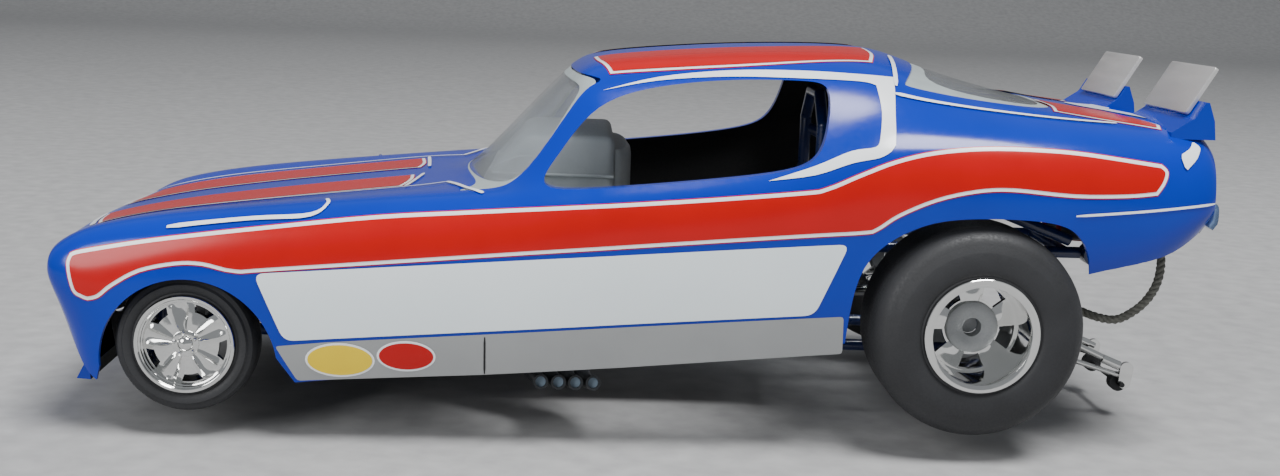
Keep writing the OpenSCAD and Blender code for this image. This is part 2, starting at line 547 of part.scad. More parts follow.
// ---- tail ----
module chute_pack() color("#3a3d42") {
    z0 = hinge_z + tube_r + seat_gap;
    hull() {
        for (x = [px(73.5) + 1, px(88) - 1]) for (y = [-7.2, 7.2]) for (z = [z0 + 1, z0 + 12])
            translate([x, y, z]) sphere(r = 1, $fn = 16);
    }
}
ROPE = [[72.6, -13.6, 18.6], [72.6, -15.4, 18.6], [74.2, -17.8, 17.5], [77.2, -19.6, 16.5],
    [80.4, -20.2, 16.2], [83.0, -20.2, 17.4], [85.2, -20.2, 19.4], [86.8, -20.0, 22.0], [87.6, -19.4, 25.0], [87.8, -18.0, 28.0], [87.4, -15.6, 30.4],
    [86.8, -12.4, 32.2], [86.2, -10.2, 33.0], [86.2, -8.2, 33.0]];
function rope_at(i) = let (p = ROPE[i]) [px(p[0]), p[1], p[2]];
function unit(v) = v / norm(v);
function rope_dir(p, i) = i == 0 ? unit(p[1] - p[0])
    : i == len(p) - 1 ? unit(p[i] - p[i - 1]) : unit(p[i + 1] - p[i - 1]);
function swept(p, d, sides) = [for (i = [0:len(p) - 1])
    let (t = rope_dir(p, i), u = unit(cross(t, [0.2, 0.1, 1])), v = cross(t, u))
    for (k = [0:sides - 1]) p[i] + d / 2 * (cos(360 * k / sides) * u + sin(360 * k / sides) * v)];
module tow_rope() color("#6d6f6c") {
    sides = 8;
    p = [for (i = [0:len(ROPE) - 1]) rope_at(i)];
    n = len(p);
    polyhedron(swept(p, rope_d, sides), concat(
        [for (i = [0:n - 2]) for (k = [0:sides - 1]) let (k2 = (k + 1) % sides, a = i * sides, b = a + sides)
            each [[a + k, a + k2, b + k2], [a + k, b + k2, b + k]]],
        [[for (k = [sides - 1:-1:0]) k]], [[for (k = [0:sides - 1]) (n - 1) * sides + k]]));
}

// ---- wheelie bar ----
bar_y = 8;
bar_tip_x = px(87.4);
caster_d = 3.2;
caster_x = px(87);
caster_z = caster_d / 2 + 0.3;
module wheelie_bar() color(chrome) for (s = [-1, 1]) scale([1, s, 1]) {
    x0 = upright_x + tube_r + seat_gap;
    box([x0, bar_y - 0.8, rail_low_z - 1.4], [x0 + 1, bar_y + 1.2, rail_low_z + 4.4]);
    tube([x0 + 0.5, bar_y, rail_low_z + 2.9], [bar_tip_x + 0.4, bar_y, 4.7], 1.1);
    tube([x0 + 0.5, bar_y, rail_low_z - 0.8], [bar_tip_x, bar_y, 3.2], 0.9);
    tube([bar_tip_x - 4, bar_y, 6.36], [bar_tip_x - 0.8, bar_y, 5.1], 1.6);
    difference() {
        hull() {
            across(bar_tip_x + 0.4, 4.7, bar_y + 0.1, bar_y + 0.8, 2.4);
            across(caster_x + 0.6, caster_z + 0.3, bar_y + 0.1, bar_y + 0.8, 2.2);
        }
        across(caster_x, caster_z, bar_y - 4, bar_y + 4, 0.9 + 2 * run_gap);
    }
}
module wheelie_wheels() color(black) {
    across(caster_x, caster_z, -bar_y - 1.4, bar_y + 1.4, 0.9);
    for (s = [-1, 1]) scale([1, s, 1]) across(caster_x, caster_z, bar_y - 2.2, bar_y - 0.5, caster_d);
}

// ---- wheels ----
// A tyre of outer diameter d and width w, seated on a rim
module tyre(d, w, rim, shoulder) rotate([90, 0, 0]) rotate_extrude($fn = 72) {
    r = d / 2;
    b = rim / 2 - 0.45;
    h = w / 2;
    polygon([[b, -h + 0.9], [b + 0.9, -h + 0.25], [b + 1.8, -h], [r - shoulder * 1.5, -h + 0.1],
        [r - shoulder * 0.45, -h + 0.55], [r, -h + shoulder + 0.4], [r, h - shoulder - 0.4],
        [r - shoulder * 0.45, h - 0.55], [r - shoulder * 1.5, h - 0.1], [b + 1.8, h],
        [b + 0.9, h - 0.25], [b, h - 0.9]]);
}
// A wheel: rim barrel, centre disc with five windows, hub with a bore. Its outer face looks to +Y.
module wheel(rim, w, disc_out, disc_r, bore) rotate([90, 0, 0]) mirror([0, 0, 1]) {
    seat_r = rim / 2 - 0.45 - 0.02;
    rotate_extrude($fn = 72) polygon([[seat_r - 0.9, -w / 2 + 0.9], [seat_r, -w / 2 + 0.9],
        [seat_r, w / 2 - 0.85], [rim / 2, w / 2 - 0.2], [rim / 2, w / 2 + 0.15], [rim / 2 - 0.8, w / 2 + 0.3],
        [seat_r - 0.9, w / 2 - 1]]);
    difference() {
        union() {
            translate([0, 0, w / 2 - disc_out - 1]) cylinder(r = seat_r - 0.5, h = 1);
            translate([0, 0, w / 2 - disc_out - 1.6]) cylinder(r = disc_r, h = 2.4);
            translate([0, 0, w / 2 - disc_out - 2.4]) cylinder(r = bore + 1.2, h = 1);
        }
        translate([0, 0, -w]) cylinder(r = bore, h = 2 * w);
        for (a = [0:72:288]) rotate([0, 0, a]) translate([(disc_r + seat_r) / 2, 0, 0])
            cylinder(r = (seat_r - disc_r) * 0.34, h = 3 * w, center = true);
    }
}
module front_place(s) translate([front_x, s * (front_face_y - front_tyre_w / 2), front_z]) scale([1, s, 1]) children();
module rear_place(s) translate([rear_x, s * (rear_face_y - rear_tyre_w / 2), rear_z]) scale([1, s, 1]) children();
module front_tyre(s) color(black) front_place(s) tyre(front_tyre_d, front_tyre_w, front_rim_d, 1.3);
module front_wheel(s) color(chrome) front_place(s) wheel(front_rim_d, front_tyre_w, 1.4, 2.2, spindle_d / 2 + run_gap);
module rear_tyre(s) color(black) rear_place(s) tyre(rear_tyre_d, rear_tyre_w, rear_rim_d, 2.2);
module rear_wheel(s) color(chrome) rear_place(s) wheel(rear_rim_d, rear_tyre_w, 7, 4.2, shaft_d / 2 + run_gap);
module front_tyre_left() front_tyre(-1);
module front_wheel_left() front_wheel(-1);
module front_tyre_right() front_tyre(1);
module front_wheel_right() front_wheel(1);
module rear_tyre_left() rear_tyre(-1);
module rear_wheel_left() rear_wheel(-1);
module rear_tyre_right() rear_tyre(1);
module rear_wheel_right() rear_wheel(1);

body_shell();
windshield();
rear_window();
grille();
headlamps();
tail_lamps();
rear_bumper();
spoiler_plates();
body_hinge_arms();
frame_left();
frame_right();
cross_tubes();
roll_cage();
floor_pan();
hinge_eyes();
front_axle();
spindle_left();
spindle_right();
radius_rods();
rear_axle();
drive_shaft();
engine_block();
valve_covers();
blower();
injector();
headers_left();
headers_right();
gearbox();
fuel_tank();
cockpit_tin();
dash_cowl();
seat();
harness();
steering_wheel();
chute_pack();
tow_rope();
wheelie_bar();
front_tyre_left();
front_wheel_left();
front_tyre_right();
front_wheel_right();
rear_tyre_left();
rear_wheel_left();
rear_tyre_right();
rear_wheel_right();
wheelie_wheels();
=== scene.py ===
# Flip-top funny car, a built one to twenty-five display kit: its enamel, decals, chrome and small parts.
import math
import bmesh
import bpy
import numpy as np
from mathutils import Matrix, Vector
from mathutils.bvhtree import BVHTree
from mathutils.geometry import delaunay_2d_cdt
from mathutils.interpolate import poly_3d_calc


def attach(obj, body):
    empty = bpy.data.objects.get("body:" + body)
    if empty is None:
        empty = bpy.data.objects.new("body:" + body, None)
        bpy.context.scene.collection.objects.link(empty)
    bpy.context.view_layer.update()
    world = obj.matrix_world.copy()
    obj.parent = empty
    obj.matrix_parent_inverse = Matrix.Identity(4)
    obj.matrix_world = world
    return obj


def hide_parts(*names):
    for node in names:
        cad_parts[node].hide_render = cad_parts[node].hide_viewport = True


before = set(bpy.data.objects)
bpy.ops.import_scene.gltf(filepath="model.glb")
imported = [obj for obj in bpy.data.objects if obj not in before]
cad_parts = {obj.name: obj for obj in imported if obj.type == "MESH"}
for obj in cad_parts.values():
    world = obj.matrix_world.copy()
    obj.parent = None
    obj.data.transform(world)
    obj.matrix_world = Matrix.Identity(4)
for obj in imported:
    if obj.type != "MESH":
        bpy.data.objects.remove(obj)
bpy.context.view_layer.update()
mm = 0.001  # every length below is in millimetres until a mesh is made


# colours and materials
def hexColour(code, alpha=1.0):
    parts = [int(code[i:i + 2], 16) / 255 for i in (1, 3, 5)]
    linear = [c / 12.92 if c <= 0.04045 else ((c + 0.055) / 1.055) ** 2.4 for c in parts]
    return (*linear, alpha)


def addNode(tree, kind, settings=None, links=None):
    node = tree.nodes.new(kind)
    for key, value in (settings or {}).items():
        if isinstance(key, int) or key in node.inputs:
            node.inputs[key].default_value = value
        else:
            setattr(node, key, value)
    for socket, source in (links or {}).items():
        tree.links.new(source, node.inputs[socket])
    return node


# A surface whose colour drifts from colour to shade over patches, with fine grain in its gloss and relief.
# patch, grain and relief are in millimetres.
def makeFinish(name, colour, shade, roughness, spread=0.06, metallic=0.0, patch=6.0, grain=0.35, relief=0.01,
               stretch=(1, 1, 1), extra=None):
    material = bpy.data.materials.new(name)
    material.use_nodes = True
    tree = material.node_tree
    shader = tree.nodes["Principled BSDF"]
    place = addNode(tree, "ShaderNodeTexCoord")
    scaled = addNode(tree, "ShaderNodeMapping", {"Scale": stretch}, {"Vector": place.outputs["Object"]})
    broad = addNode(tree, "ShaderNodeTexNoise", {"Scale": 1 / (patch * mm), "Detail": 3.0},
                    {"Vector": scaled.outputs["Vector"]})
    fine = addNode(tree, "ShaderNodeTexNoise", {"Scale": 1 / (grain * mm), "Detail": 4.0},
                   {"Vector": scaled.outputs["Vector"]})
    tint = addNode(tree, "ShaderNodeMix", {"data_type": "RGBA", 6: hexColour(colour), 7: hexColour(shade)},
                   {0: broad.outputs["Fac"]})
    gloss = addNode(tree, "ShaderNodeMapRange",
                    {"From Min": 0.3, "From Max": 0.7, "To Min": roughness - spread / 2,
                    "To Max": roughness + spread}, {"Value": fine.outputs["Fac"]})
    bump = addNode(tree, "ShaderNodeBump", {"Strength": 0.6, "Distance": relief * mm},
                   {"Height": fine.outputs["Fac"]})
    shader.inputs["Metallic"].default_value = metallic
    for key, value in (extra or {}).items():
        shader.inputs[key].default_value = value
    tree.links.new(tint.outputs[2], shader.inputs["Base Color"])
    tree.links.new(gloss.outputs["Result"], shader.inputs["Roughness"])
    tree.links.new(bump.outputs["Normal"], shader.inputs["Normal"])
    return material


finishes = {
    # sprayed gloss enamel under clear coat: deep blue, sharp highlights with a faint orange peel
    "blueEnamel": makeFinish("sprayedBlueEnamel", "#002fae", "#00279b", 0.17, 0.03, patch=14, grain=0.8,
                             relief=0.006,
                             extra={"Coat Weight": 0.15, "Coat Roughness": 0.1, "IOR": 1.5,
                                    "Specular IOR Level": 0.36}),
    # waterslide decal film, printed: flat even ink, slightly glossier than the enamel
    "redDecal": makeFinish("printedRedDecal", "#be0006", "#b00004", 0.2, 0.02, patch=9, grain=1.6,
                           relief=0.005,
                           extra={"Coat Weight": 0.1, "Coat Roughness": 0.1, "IOR": 1.5,
                                  "Specular IOR Level": 0.34}),
    "whiteDecal": makeFinish("printedWhiteDecal", "#f8fbfd", "#eef3f6", 0.25, 0.03, patch=9, grain=1.6,
                             relief=0.005,
                             extra={"Coat Weight": 0.4, "Coat Roughness": 0.15, "IOR": 1.5}),
    "paleDecal": makeFinish("printedPaleDecal", "#ecf5f7", "#e2ecf0", 0.3, 0.03, patch=12, grain=0.6,
                            relief=0.004,
                            extra={"Coat Weight": 0.3, "Coat Roughness": 0.2, "IOR": 1.5}),
    "yellowDecal": makeFinish("printedYellowDecal", "#f0cf10", "#e6c20c", 0.3, 0.05, patch=5, grain=0.5,
                              relief=0.004,
                              extra={"Coat Weight": 0.4, "IOR": 1.5}),
    # silver lacquer over styrene: fine flake, soft sheen, hardly mirror-like
    "silverLacquer": makeFinish("silverLacquer", "#a9abab", "#9c9e9f", 0.38, 0.08, metallic=0.45, patch=8,
                                grain=0.3,
                                relief=0.004, extra={"Coat Weight": 0.15}),
    # the shell is sprayed matt black inside
    "blackInside": makeFinish("mattBlackSpray", "#0a0b0d", "#050506", 0.62, 0.1, patch=6, grain=0.4,
                              relief=0.02),
    # brushed-on grey round the glass
    "greyTrim": makeFinish("brushedGreyPaint", "#a4adae", "#8f9899", 0.4, 0.12, patch=2.5, grain=0.4,
                           relief=0.03,
                           extra={"IOR": 1.5}),
}


# mesh code
def joined(*shapes):
    points, faces = [], []
    for p, f in shapes:
        base = len(points)
        points.extend(p)
        faces.extend([[i + base for i in face] for face in f])
    return points, faces


def mirrored(shape):
    points, faces = shape
    return [(x, -y, z) for x, y, z in points], [face[::-1] for face in faces]


def bothSides(shape):
    return joined(shape, mirrored(shape))


def makePiece(name, shape, material, body, replaces=(), sharp=35, bevel=0, faceMaterials=None):
    mesh = bpy.data.meshes.new(name)
    mesh.from_pydata([(x * mm, y * mm, z * mm) for x, y, z in shape[0]], [], shape[1])
    piece = bpy.data.objects.new(name, mesh)
    bpy.context.scene.collection.objects.link(piece)
    for one in material if isinstance(material, list) else [material]:
        mesh.materials.append(one)
    if faceMaterials:
        mesh.polygons.foreach_set("material_index", faceMaterials)
    if bevel:
        rounded = piece.modifiers.new("edges", "BEVEL")
        rounded.width, rounded.segments, rounded.limit_method = bevel * mm, 2, "ANGLE"
        rounded.angle_limit = math.radians(40)
        bakeModifiers(piece)
    finishMesh(piece.data, sharp)
    if body:
        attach(piece, body)
    if replaces:
        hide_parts(*replaces)
    return piece


def finishMesh(mesh, sharp):
    mesh.shade_smooth()
    mesh.set_sharp_from_angle(angle=math.radians(sharp))


def bakeModifiers(piece):
    graph = bpy.context.evaluated_depsgraph_get()
    baked = bpy.data.meshes.new_from_object(piece.evaluated_get(graph))
    piece.modifiers.clear()
    piece.data = baked


# A solid with this outline, run from start to end along one axis. Outlines are (y, z), (x, z) or (x, y).
def prism(outline, axis, start, end):
    order = {"x": (2, 0, 1), "y": (0, 2, 1), "z": (0, 1, 2)}[axis]
    points = []
    for level in (start, end):
        for a, b in outline:
            values = (a, b, level)
            points.append(tuple(values[i] for i in order))
    n = len(outline)
    area = sum(a[0] * b[1] - b[0] * a[1] for a, b in zip(outline, outline[1:] + outline[:1]))
    faces = [list(range(n))[::-1], list(range(n, 2 * n))]
    faces += [[i, (i + 1) % n, n + (i + 1) % n, n + i] for i in range(n)]
    turned = (area > 0) != (axis == "y")
    return points, faces if turned else [face[::-1] for face in faces]


def splineWeights(t):
    return [(1 - t) ** 3 / 6, (3 * t ** 3 - 6 * t * t + 4) / 6, (-3 * t ** 3 + 3 * t * t + 3 * t + 1) / 6,
            t ** 3 / 6]


# Closed smooth outline near a list of points, as in the part's own source.
def smoothLoop(points, steps):
    n = len(points)
    out = []
    for i in range(n):
        near = [points[(i + k) % n] for k in (-1, 0, 1, 2)]
        for s in range(steps):
            weights = splineWeights(s / steps)
            out.append(tuple(sum(w * p[c] for w, p in zip(weights, near)) for c in range(2)))
    return out


# Open smooth line through its points.
def curveThrough(points, steps=6):
    out = []
    for i in range(len(points) - 1):
        a, b = points[max(i - 1, 0)], points[i]
        c, d = points[i + 1], points[min(i + 2, len(points) - 1)]
        for s in range(steps):
            t = s / steps
            out.append(tuple(0.5 * (2 * q + (r - p) * t + (2 * p - 5 * q + 4 * r - e) * t * t
                                    + (3 * q - p - 3 * r + e) * t ** 3) for p, q, r, e in zip(a, b, c, d)))
    return out + [tuple(points[-1])]


print("helpers ready")

# camera, floor and light
view = {"place": (-11.05, -256.95, 69.74), "turn": 2.71, "down": 10.07, "roll": 2.2, "lens": 41.32}


def aimCamera(values):
    turn, down, roll = (math.radians(values[k]) for k in ("turn", "down", "roll"))
    forward = Vector((math.sin(turn) * math.cos(down), math.cos(turn) * math.cos(down), -math.sin(down)))
    level = Vector((math.cos(turn), -math.sin(turn), 0))
    over = level.cross(forward)
    across = math.cos(roll) * level + math.sin(roll) * over
    upward = -math.sin(roll) * level + math.cos(roll) * over
    data = bpy.data.cameras.new("camera")
    data.lens, data.clip_start = values["lens"], 0.01
    camera = bpy.data.objects.new("camera", data)
    bpy.context.scene.collection.objects.link(camera)
    camera.matrix_world = Matrix.Translation(Vector(values["place"]) * mm) @ Matrix(
        (across, upward, -forward)).transposed().to_4x4()
    bpy.context.scene.camera = camera


aimCamera(view)
studio = {"floorColour": "#b3b3b3", "floorDarker": "#8f8f90", "keyPower": 20, "keySize": 0.55,
          "keyPlace": (0.25, -0.35, 1.1),
          "fillPower": 11, "fillSize": 0.8, "fillPlace": (-0.9, -0.9, 0.6), "skyStrength": 0.4}


def addLamp(name, place, size, power, aim=(0, 0, 0.02)):
    data = bpy.data.lights.new(name, "AREA")
    data.shape, data.size, data.energy = "DISK", size, power
    lamp = bpy.data.objects.new(name, data)
    bpy.context.scene.collection.objects.link(lamp)
    lamp.location = place
    lamp.rotation_euler = (Vector(aim) - Vector(place)).to_track_quat("-Z", "Y").to_euler()


def buildStudio(values):
    # (y, z) in metres
    sweep = curveThrough([(-1.5, 0.0), (0.9, 0.0), (1.6, 0.06), (2.0, 0.5), (2.1, 1.6)], 12)
    points = [(side * 3000, y * 1000, z * 1000 - 0.02) for y, z in sweep for side in (-1, 1)]
    faces = [[2 * i, 2 * i + 1, 2 * i + 3, 2 * i + 2] for i in range(len(sweep) - 1)]
    # matt paper floor with a faint mottle, so that the car's shadows stay soft
    paper = makeFinish("mattPaper", values["floorColour"], values["floorDarker"], 0.85, 0.05, patch=5,
                       grain=0.9, relief=0.02)
    makePiece("floor", (points, faces), paper, None)
    addLamp("keyLight", values["keyPlace"], values["keySize"], values["keyPower"])
    addLamp("fillLight", values["fillPlace"], values["fillSize"], values["fillPower"])
    world = bpy.data.worlds.new("studio")
    bpy.context.scene.world = world
    world.use_nodes = True
    world.node_tree.nodes["Background"].inputs[0].default_value = hexColour("#dfe3e8")
    world.node_tree.nodes["Background"].inputs[1].default_value = values["skyStrength"]


buildStudio(studio)
print("camera, floor and light ready")

# tow rope: three strands twisted together, hung from a lug on the left rail to the parachute pack
rope = {"diameter": 1.5, "strandShare": 0.30, "turnsPerMm": 0.34, "sides": 9,
        "route": [(72.6, -13.6, 18.6), (72.6, -15.4, 18.6), (74.2, -17.8, 17.5), (77.2, -19.6, 16.5),
                  (80.4, -20.2, 16.2), (83.0, -20.2, 17.4), (85.2, -20.2, 19.4), (86.8, -20.0, 22.0),
                  (87.6, -19.4, 25.0), (87.8, -18.0, 28.0), (87.4, -15.6, 30.4), (86.8, -12.4, 32.2),
                  (86.2, -10.2, 33.0), (86.2, -8.2, 33.0)]}


# A round tube along a path, with frames carried on without twist. radius is a number or one for each point.
def sweepTube(path, radius, sides, closed=True):
    path = [Vector(p) for p in path]
    radii = radius if isinstance(radius, list) else [radius] * len(path)
    points, faces = [], []
    side = None
    for i, p in enumerate(path):
        along = (path[min(i + 1, len(path) - 1)] - path[max(i - 1, 0)]).normalized()
        if side is None:
            side = along.orthogonal().normalized()
        side = (side - side.dot(along) * along).normalized()
        other = along.cross(side)
        for k in range(sides):
            a = 2 * math.pi * k / sides
            points.append(tuple(p + radii[i] * (math.cos(a) * side + math.sin(a) * other)))
        if i:
            b = (i - 1) * sides
            faces += [[b + k, b + (k + 1) % sides, b + sides + (k + 1) % sides,
                       b + sides + k] for k in range(sides)]
    if closed:
        faces.append(list(range(sides))[::-1])
        last = (len(path) - 1) * sides
        faces.append(list(range(last, last + sides)))
    return points, faces


def buildRope(values):
    line = [Vector(p) for p in curveThrough(values["route"], 8)]
    reach = values["diameter"] / 2 * (1 - values["strandShare"] * 1.6)
    strands = []
    for strand in range(3):
        path, travelled, side = [], 0.0, None
        for i, p in enumerate(line):
            along = (line[min(i + 1, len(line) - 1)] - line[max(i - 1, 0)]).normalized()
            side = side or along.orthogonal().normalized()
            side = (side - side.dot(along) * along).normalized()
            travelled += (p - line[i - 1]).length if i else 0
            a = 2 * math.pi * (strand / 3 + values["turnsPerMm"] * travelled)
            path.append(p + reach * (math.cos(a) * side + math.sin(a) * along.cross(side)))
        strands.append(sweepTube(path, values["diameter"] * values["strandShare"] * 0.86, values["sides"]))
    # laid nylon cord: grey yarn, mixed in fine random patches with a dark grey that is painted shade for the
    # grooves between the strands
    yarn = makeFinish("laidGreyYarn", "#8b8b82", "#3a3a38", 0.75, 0.1, patch=0.7, grain=0.12, relief=0.05)
    piece = makePiece("towRope", joined(*strands), yarn, "root", ["tow_rope"])


buildRope(rope)

# the body's surface

# Control rows from nose to tail: x, bow, top, then (y, z) of mid, rail, belt, shoulder, side, sill and hem.
bodyRows = [
    (-93.3, 1.0, 23.8, (12, 23.7), (20, 23.3), (25, 23.1), (28, 22.7), (28.8, 22.2), (28.4, 21.6),
     (26, 21.2)),
    (-93.3, 1.0, 25.3, (12, 25.2), (20, 24.8), (26, 24.8), (30, 24.3), (31.2, 22.0), (30.4, 20.2),
     (27, 18.8)),
    (-91.3, 0.9, 26.2, (12, 26.0), (20.5, 25.7), (27, 26.4), (31, 25.7), (32.6, 21.4), (31.4, 17.2),
     (29, 15.0)),
    (-88.7, 0.7, 27.0, (12, 26.9), (21, 26.8), (27.4, 27.9), (31.6, 26.9), (33.6, 20.6), (32, 13.0),
     (31, 10.0)),
    (-85.0, 0.3, 27.9, (12, 27.9), (21, 28.0), (27.8, 29.2), (32.2, 27.9), (34.4, 20.0), (33.6, 9.8),
     (33, 3.4)),
    (-76.0, 0.0, 29.8, (13, 29.8), (21, 30.0), (28, 31.1), (33, 29.6), (35.2, 22.0), (34.8, 11.0),
     (33.8, 4.2)),
    (-62.0, 0.5, 31.9, (14, 31.8), (21.6, 31.9), (28.8, 32.9), (33.6, 31.2), (35.8, 24.0), (35.2, 11.0),
     (33.8, 4.8)),
    (-48.0, 2.0, 33.7, (14, 33.6), (22.6, 33.8), (29.4, 34.4), (34, 32.8), (36, 26.0), (35.2, 12.0),
     (33.6, 5.7)),
    (-38.0, 5.0, 34.9, (14, 34.9), (23.6, 35.3), (30, 35.6), (34.4, 34.0), (36.2, 27.0), (35.4, 13.0),
     (33.6, 6.3)),
    (-31.5, 9.5, 35.6, (14, 35.7), (24, 36.2), (30.4, 36.5), (34.8, 35.2), (36.4, 28.0), (35.5, 13.5),
     (33.6, 6.8)),
    (-28.8, 9.0, 37.4, (14, 37.2), (24.4, 37.6), (30.8, 37.2), (35.0, 35.6), (36.4, 28.2), (35.5, 13.8),
     (33.6, 7.0)),
    (-21.0, 6.4, 45.8, (14, 45.3), (25.4, 45.0), (31.2, 37.8), (35.2, 36.0), (36.5, 28.6), (35.5, 14.4),
     (33.6, 7.6)),
    (-12.2, 3.4, 55.0, (13.5, 54.6), (24.6, 54.0), (31.4, 38.4), (35.4, 36.5), (36.6, 29.0), (35.5, 15.2),
     (33.6, 8.2)),
    (-8.4, 1.0, 56.6, (12.5, 56.2), (24.0, 55.2), (31.4, 38.8), (35.5, 36.8), (36.6, 29.4), (35.5, 15.6),
     (33.6, 8.6)),
    (0.0, 0.0, 57.8, (12.5, 57.2), (23.8, 56.0), (31.5, 39.6), (35.6, 37.4), (36.6, 30.0), (35.5, 16.4),
     (33.6, 9.2)),
    (14.0, 0.0, 59.1, (12.5, 58.5), (23.8, 56.8), (31.8, 41.4), (35.9, 38.6), (36.7, 31.0), (35.6, 17.5),
     (33.7, 10.4)),
    (28.0, -1.0, 59.7, (12.5, 59.1), (24.0, 57.2), (32.0, 45.4), (36.4, 41.2), (37.0, 33.0), (35.8, 19.0),
     (33.9, 11.7)),
    (40.0, -3.5, 59.8, (12.5, 59.0), (24.0, 57.0), (30.5, 49.8), (36.6, 44.6), (37.4, 35.5), (36.2, 20.0),
     (34.2, 12.8)),
    (45.5, -4.5, 57.6, (12.5, 57.0), (23.4, 55.0), (29.6, 50.6), (36.6, 46.0), (37.6, 36.5), (36.4, 20.5),
     (34.5, 13.4)),
    (56.0, -3.5, 54.4, (12.5, 54.0), (22.4, 52.9), (28.8, 50.6), (36.2, 46.8), (37.7, 38.0), (36.4, 24.0),
     (34.6, 16.0)),
    (67.0, -1.5, 51.8, (12.5, 51.5), (22.4, 51.2), (28.6, 49.8), (35.4, 46.4), (37.2, 38.0), (35.8, 28.0),
     (33.6, 23.5)),
    (78.0, -0.5, 50.4, (12.5, 50.2), (22.4, 50.0), (28.4, 49.0), (33.8, 45.6), (35.6, 37.6), (34.6, 30.0),
     (32.4, 26.0)),
    (86.0, -1.0, 49.6, (12.5, 49.5), (22.4, 49.3), (28.0, 48.4), (32.2, 44.8), (33.8, 37.4), (33.0, 31.8),
     (30.6, 28.4)),
    (91.2, -1.8, 49.2, (12.5, 49.1), (21.8, 48.8), (27.2, 47.8), (31.0, 44.2), (32.6, 37.4), (31.6, 34.4),
     (28.4, 32.2)),
    (92.8, -2.0, 47.4, (12, 47.3), (20.8, 47.0), (26.0, 46.0), (29.8, 43.4), (31.4, 37.8), (30.4, 35.4),
     (27.2, 34.0))
]
body = {"noseRows": 4, "tailRows": 3, "drawIn": 0.07}


def rowPoints(index, inset):
    row = bodyRows[index]
    nose, tail = index < body["noseRows"], index >= len(bodyRows) - body["tailRows"]
    shift = 1.3 * inset if nose else -inset if tail else 0
    floor = -24 if inset > 0.5 and not nose else 0
    top, mid, rail, belt, shoulder, side, sill, hem = row[2:]
    half = [(0, top - inset), (mid[0], mid[1] - inset), (rail[0] - 0.7 * inset, rail[1] - inset),
            (belt[0] - inset, belt[1] - 0.9 * inset), (shoulder[0] - inset, shoulder[1] - 0.5 * inset),
            (side[0] - inset, side[1]), (sill[0] - inset, sill[1])]
    half += [(hem[0] - inset, hem[1] + floor)] * 3 + [(0, hem[1] + floor)]
    ring = half + [(-y, z) for y, z in half[9:0:-1]]
    return [(row[0] + shift + row[1] * (y / 30) ** 2, y, z) for y, z in ring]


# Rings of points on the body's surface, from nose to tail, drawn in by inset.
def bodyGrid(inset, along, around):
    net = np.array([rowPoints(i, inset) for i in range(len(bodyRows))])
    net = np.concatenate([net[:1], net[:1], net, net[-1:], net[-1:]])
    spans = len(net) - 3
    rings = []
    for s in range(spans):
        for k in range(along + (s == spans - 1)):
            rings.append(sum(w * net[s + i] for i, w in enumerate(splineWeights(k / along))))
    rings = np.array(rings)
    columns = []
    for s in range(rings.shape[1]):
        for k in range(around):
            columns.append(sum(w * rings[:, (s - 1 + i) % rings.shape[1]]
                               for i, w in enumerate(splineWeights(k / around))))
    return np.stack(columns, 1)


def gridShape(grid):
    rings, size = grid.shape[:2]
    points = [tuple(p) for p in grid.reshape(-1, 3)] + [tuple(grid[0].mean(0)), tuple(grid[-1].mean(0))]
    faces = [[g * size + k, g * size + (k + 1) % size, (g + 1) * size + (k + 1) % size, (g + 1) * size + k]
             for g in range(rings - 1) for k in range(size)]
    faces += [[rings * size, (k + 1) % size, k] for k in range(size)]
    last = (rings - 1) * size
    faces += [[rings * size + 1, last + k, last + (k + 1) % size] for k in range(size)]
    return points, [face[::-1] for face in faces]


# What a ray or a nearest point is looked up in: the fine surface with its smooth normals.
def surfaceOf(grid):
    points, faces = gridShape(grid)
    along = np.gradient(grid, axis=0)
    around = np.roll(grid, -1, 1) - np.roll(grid, 1, 1)
    normals = np.cross(around, along)
    normals /= np.linalg.norm(normals, axis=2, keepdims=True) + 1e-12
    outward = (normals * (grid - grid.mean((0, 1)))).sum(2).mean()
    normals = normals.reshape(-1, 3) * (1 if outward > 0 else -1)
    ends = np.array([(-1, 0, 0), (1, 0, 0)])
    return {"tree": BVHTree.FromPolygons(points, faces), "faces": faces, "points": points,
            "normals": np.concatenate([normals, ends])}


def smoothNormal(surface, index, place):
    face = surface["faces"][index]
    weights = poly_3d_calc([Vector(surface["points"][i]) for i in face], place)
    return Vector(sum(w * surface["normals"][i] for w, i in zip(weights, face))).normalized()


outerSurface = surfaceOf(bodyGrid(body["drawIn"], 10, 12))
print("body surface ready")

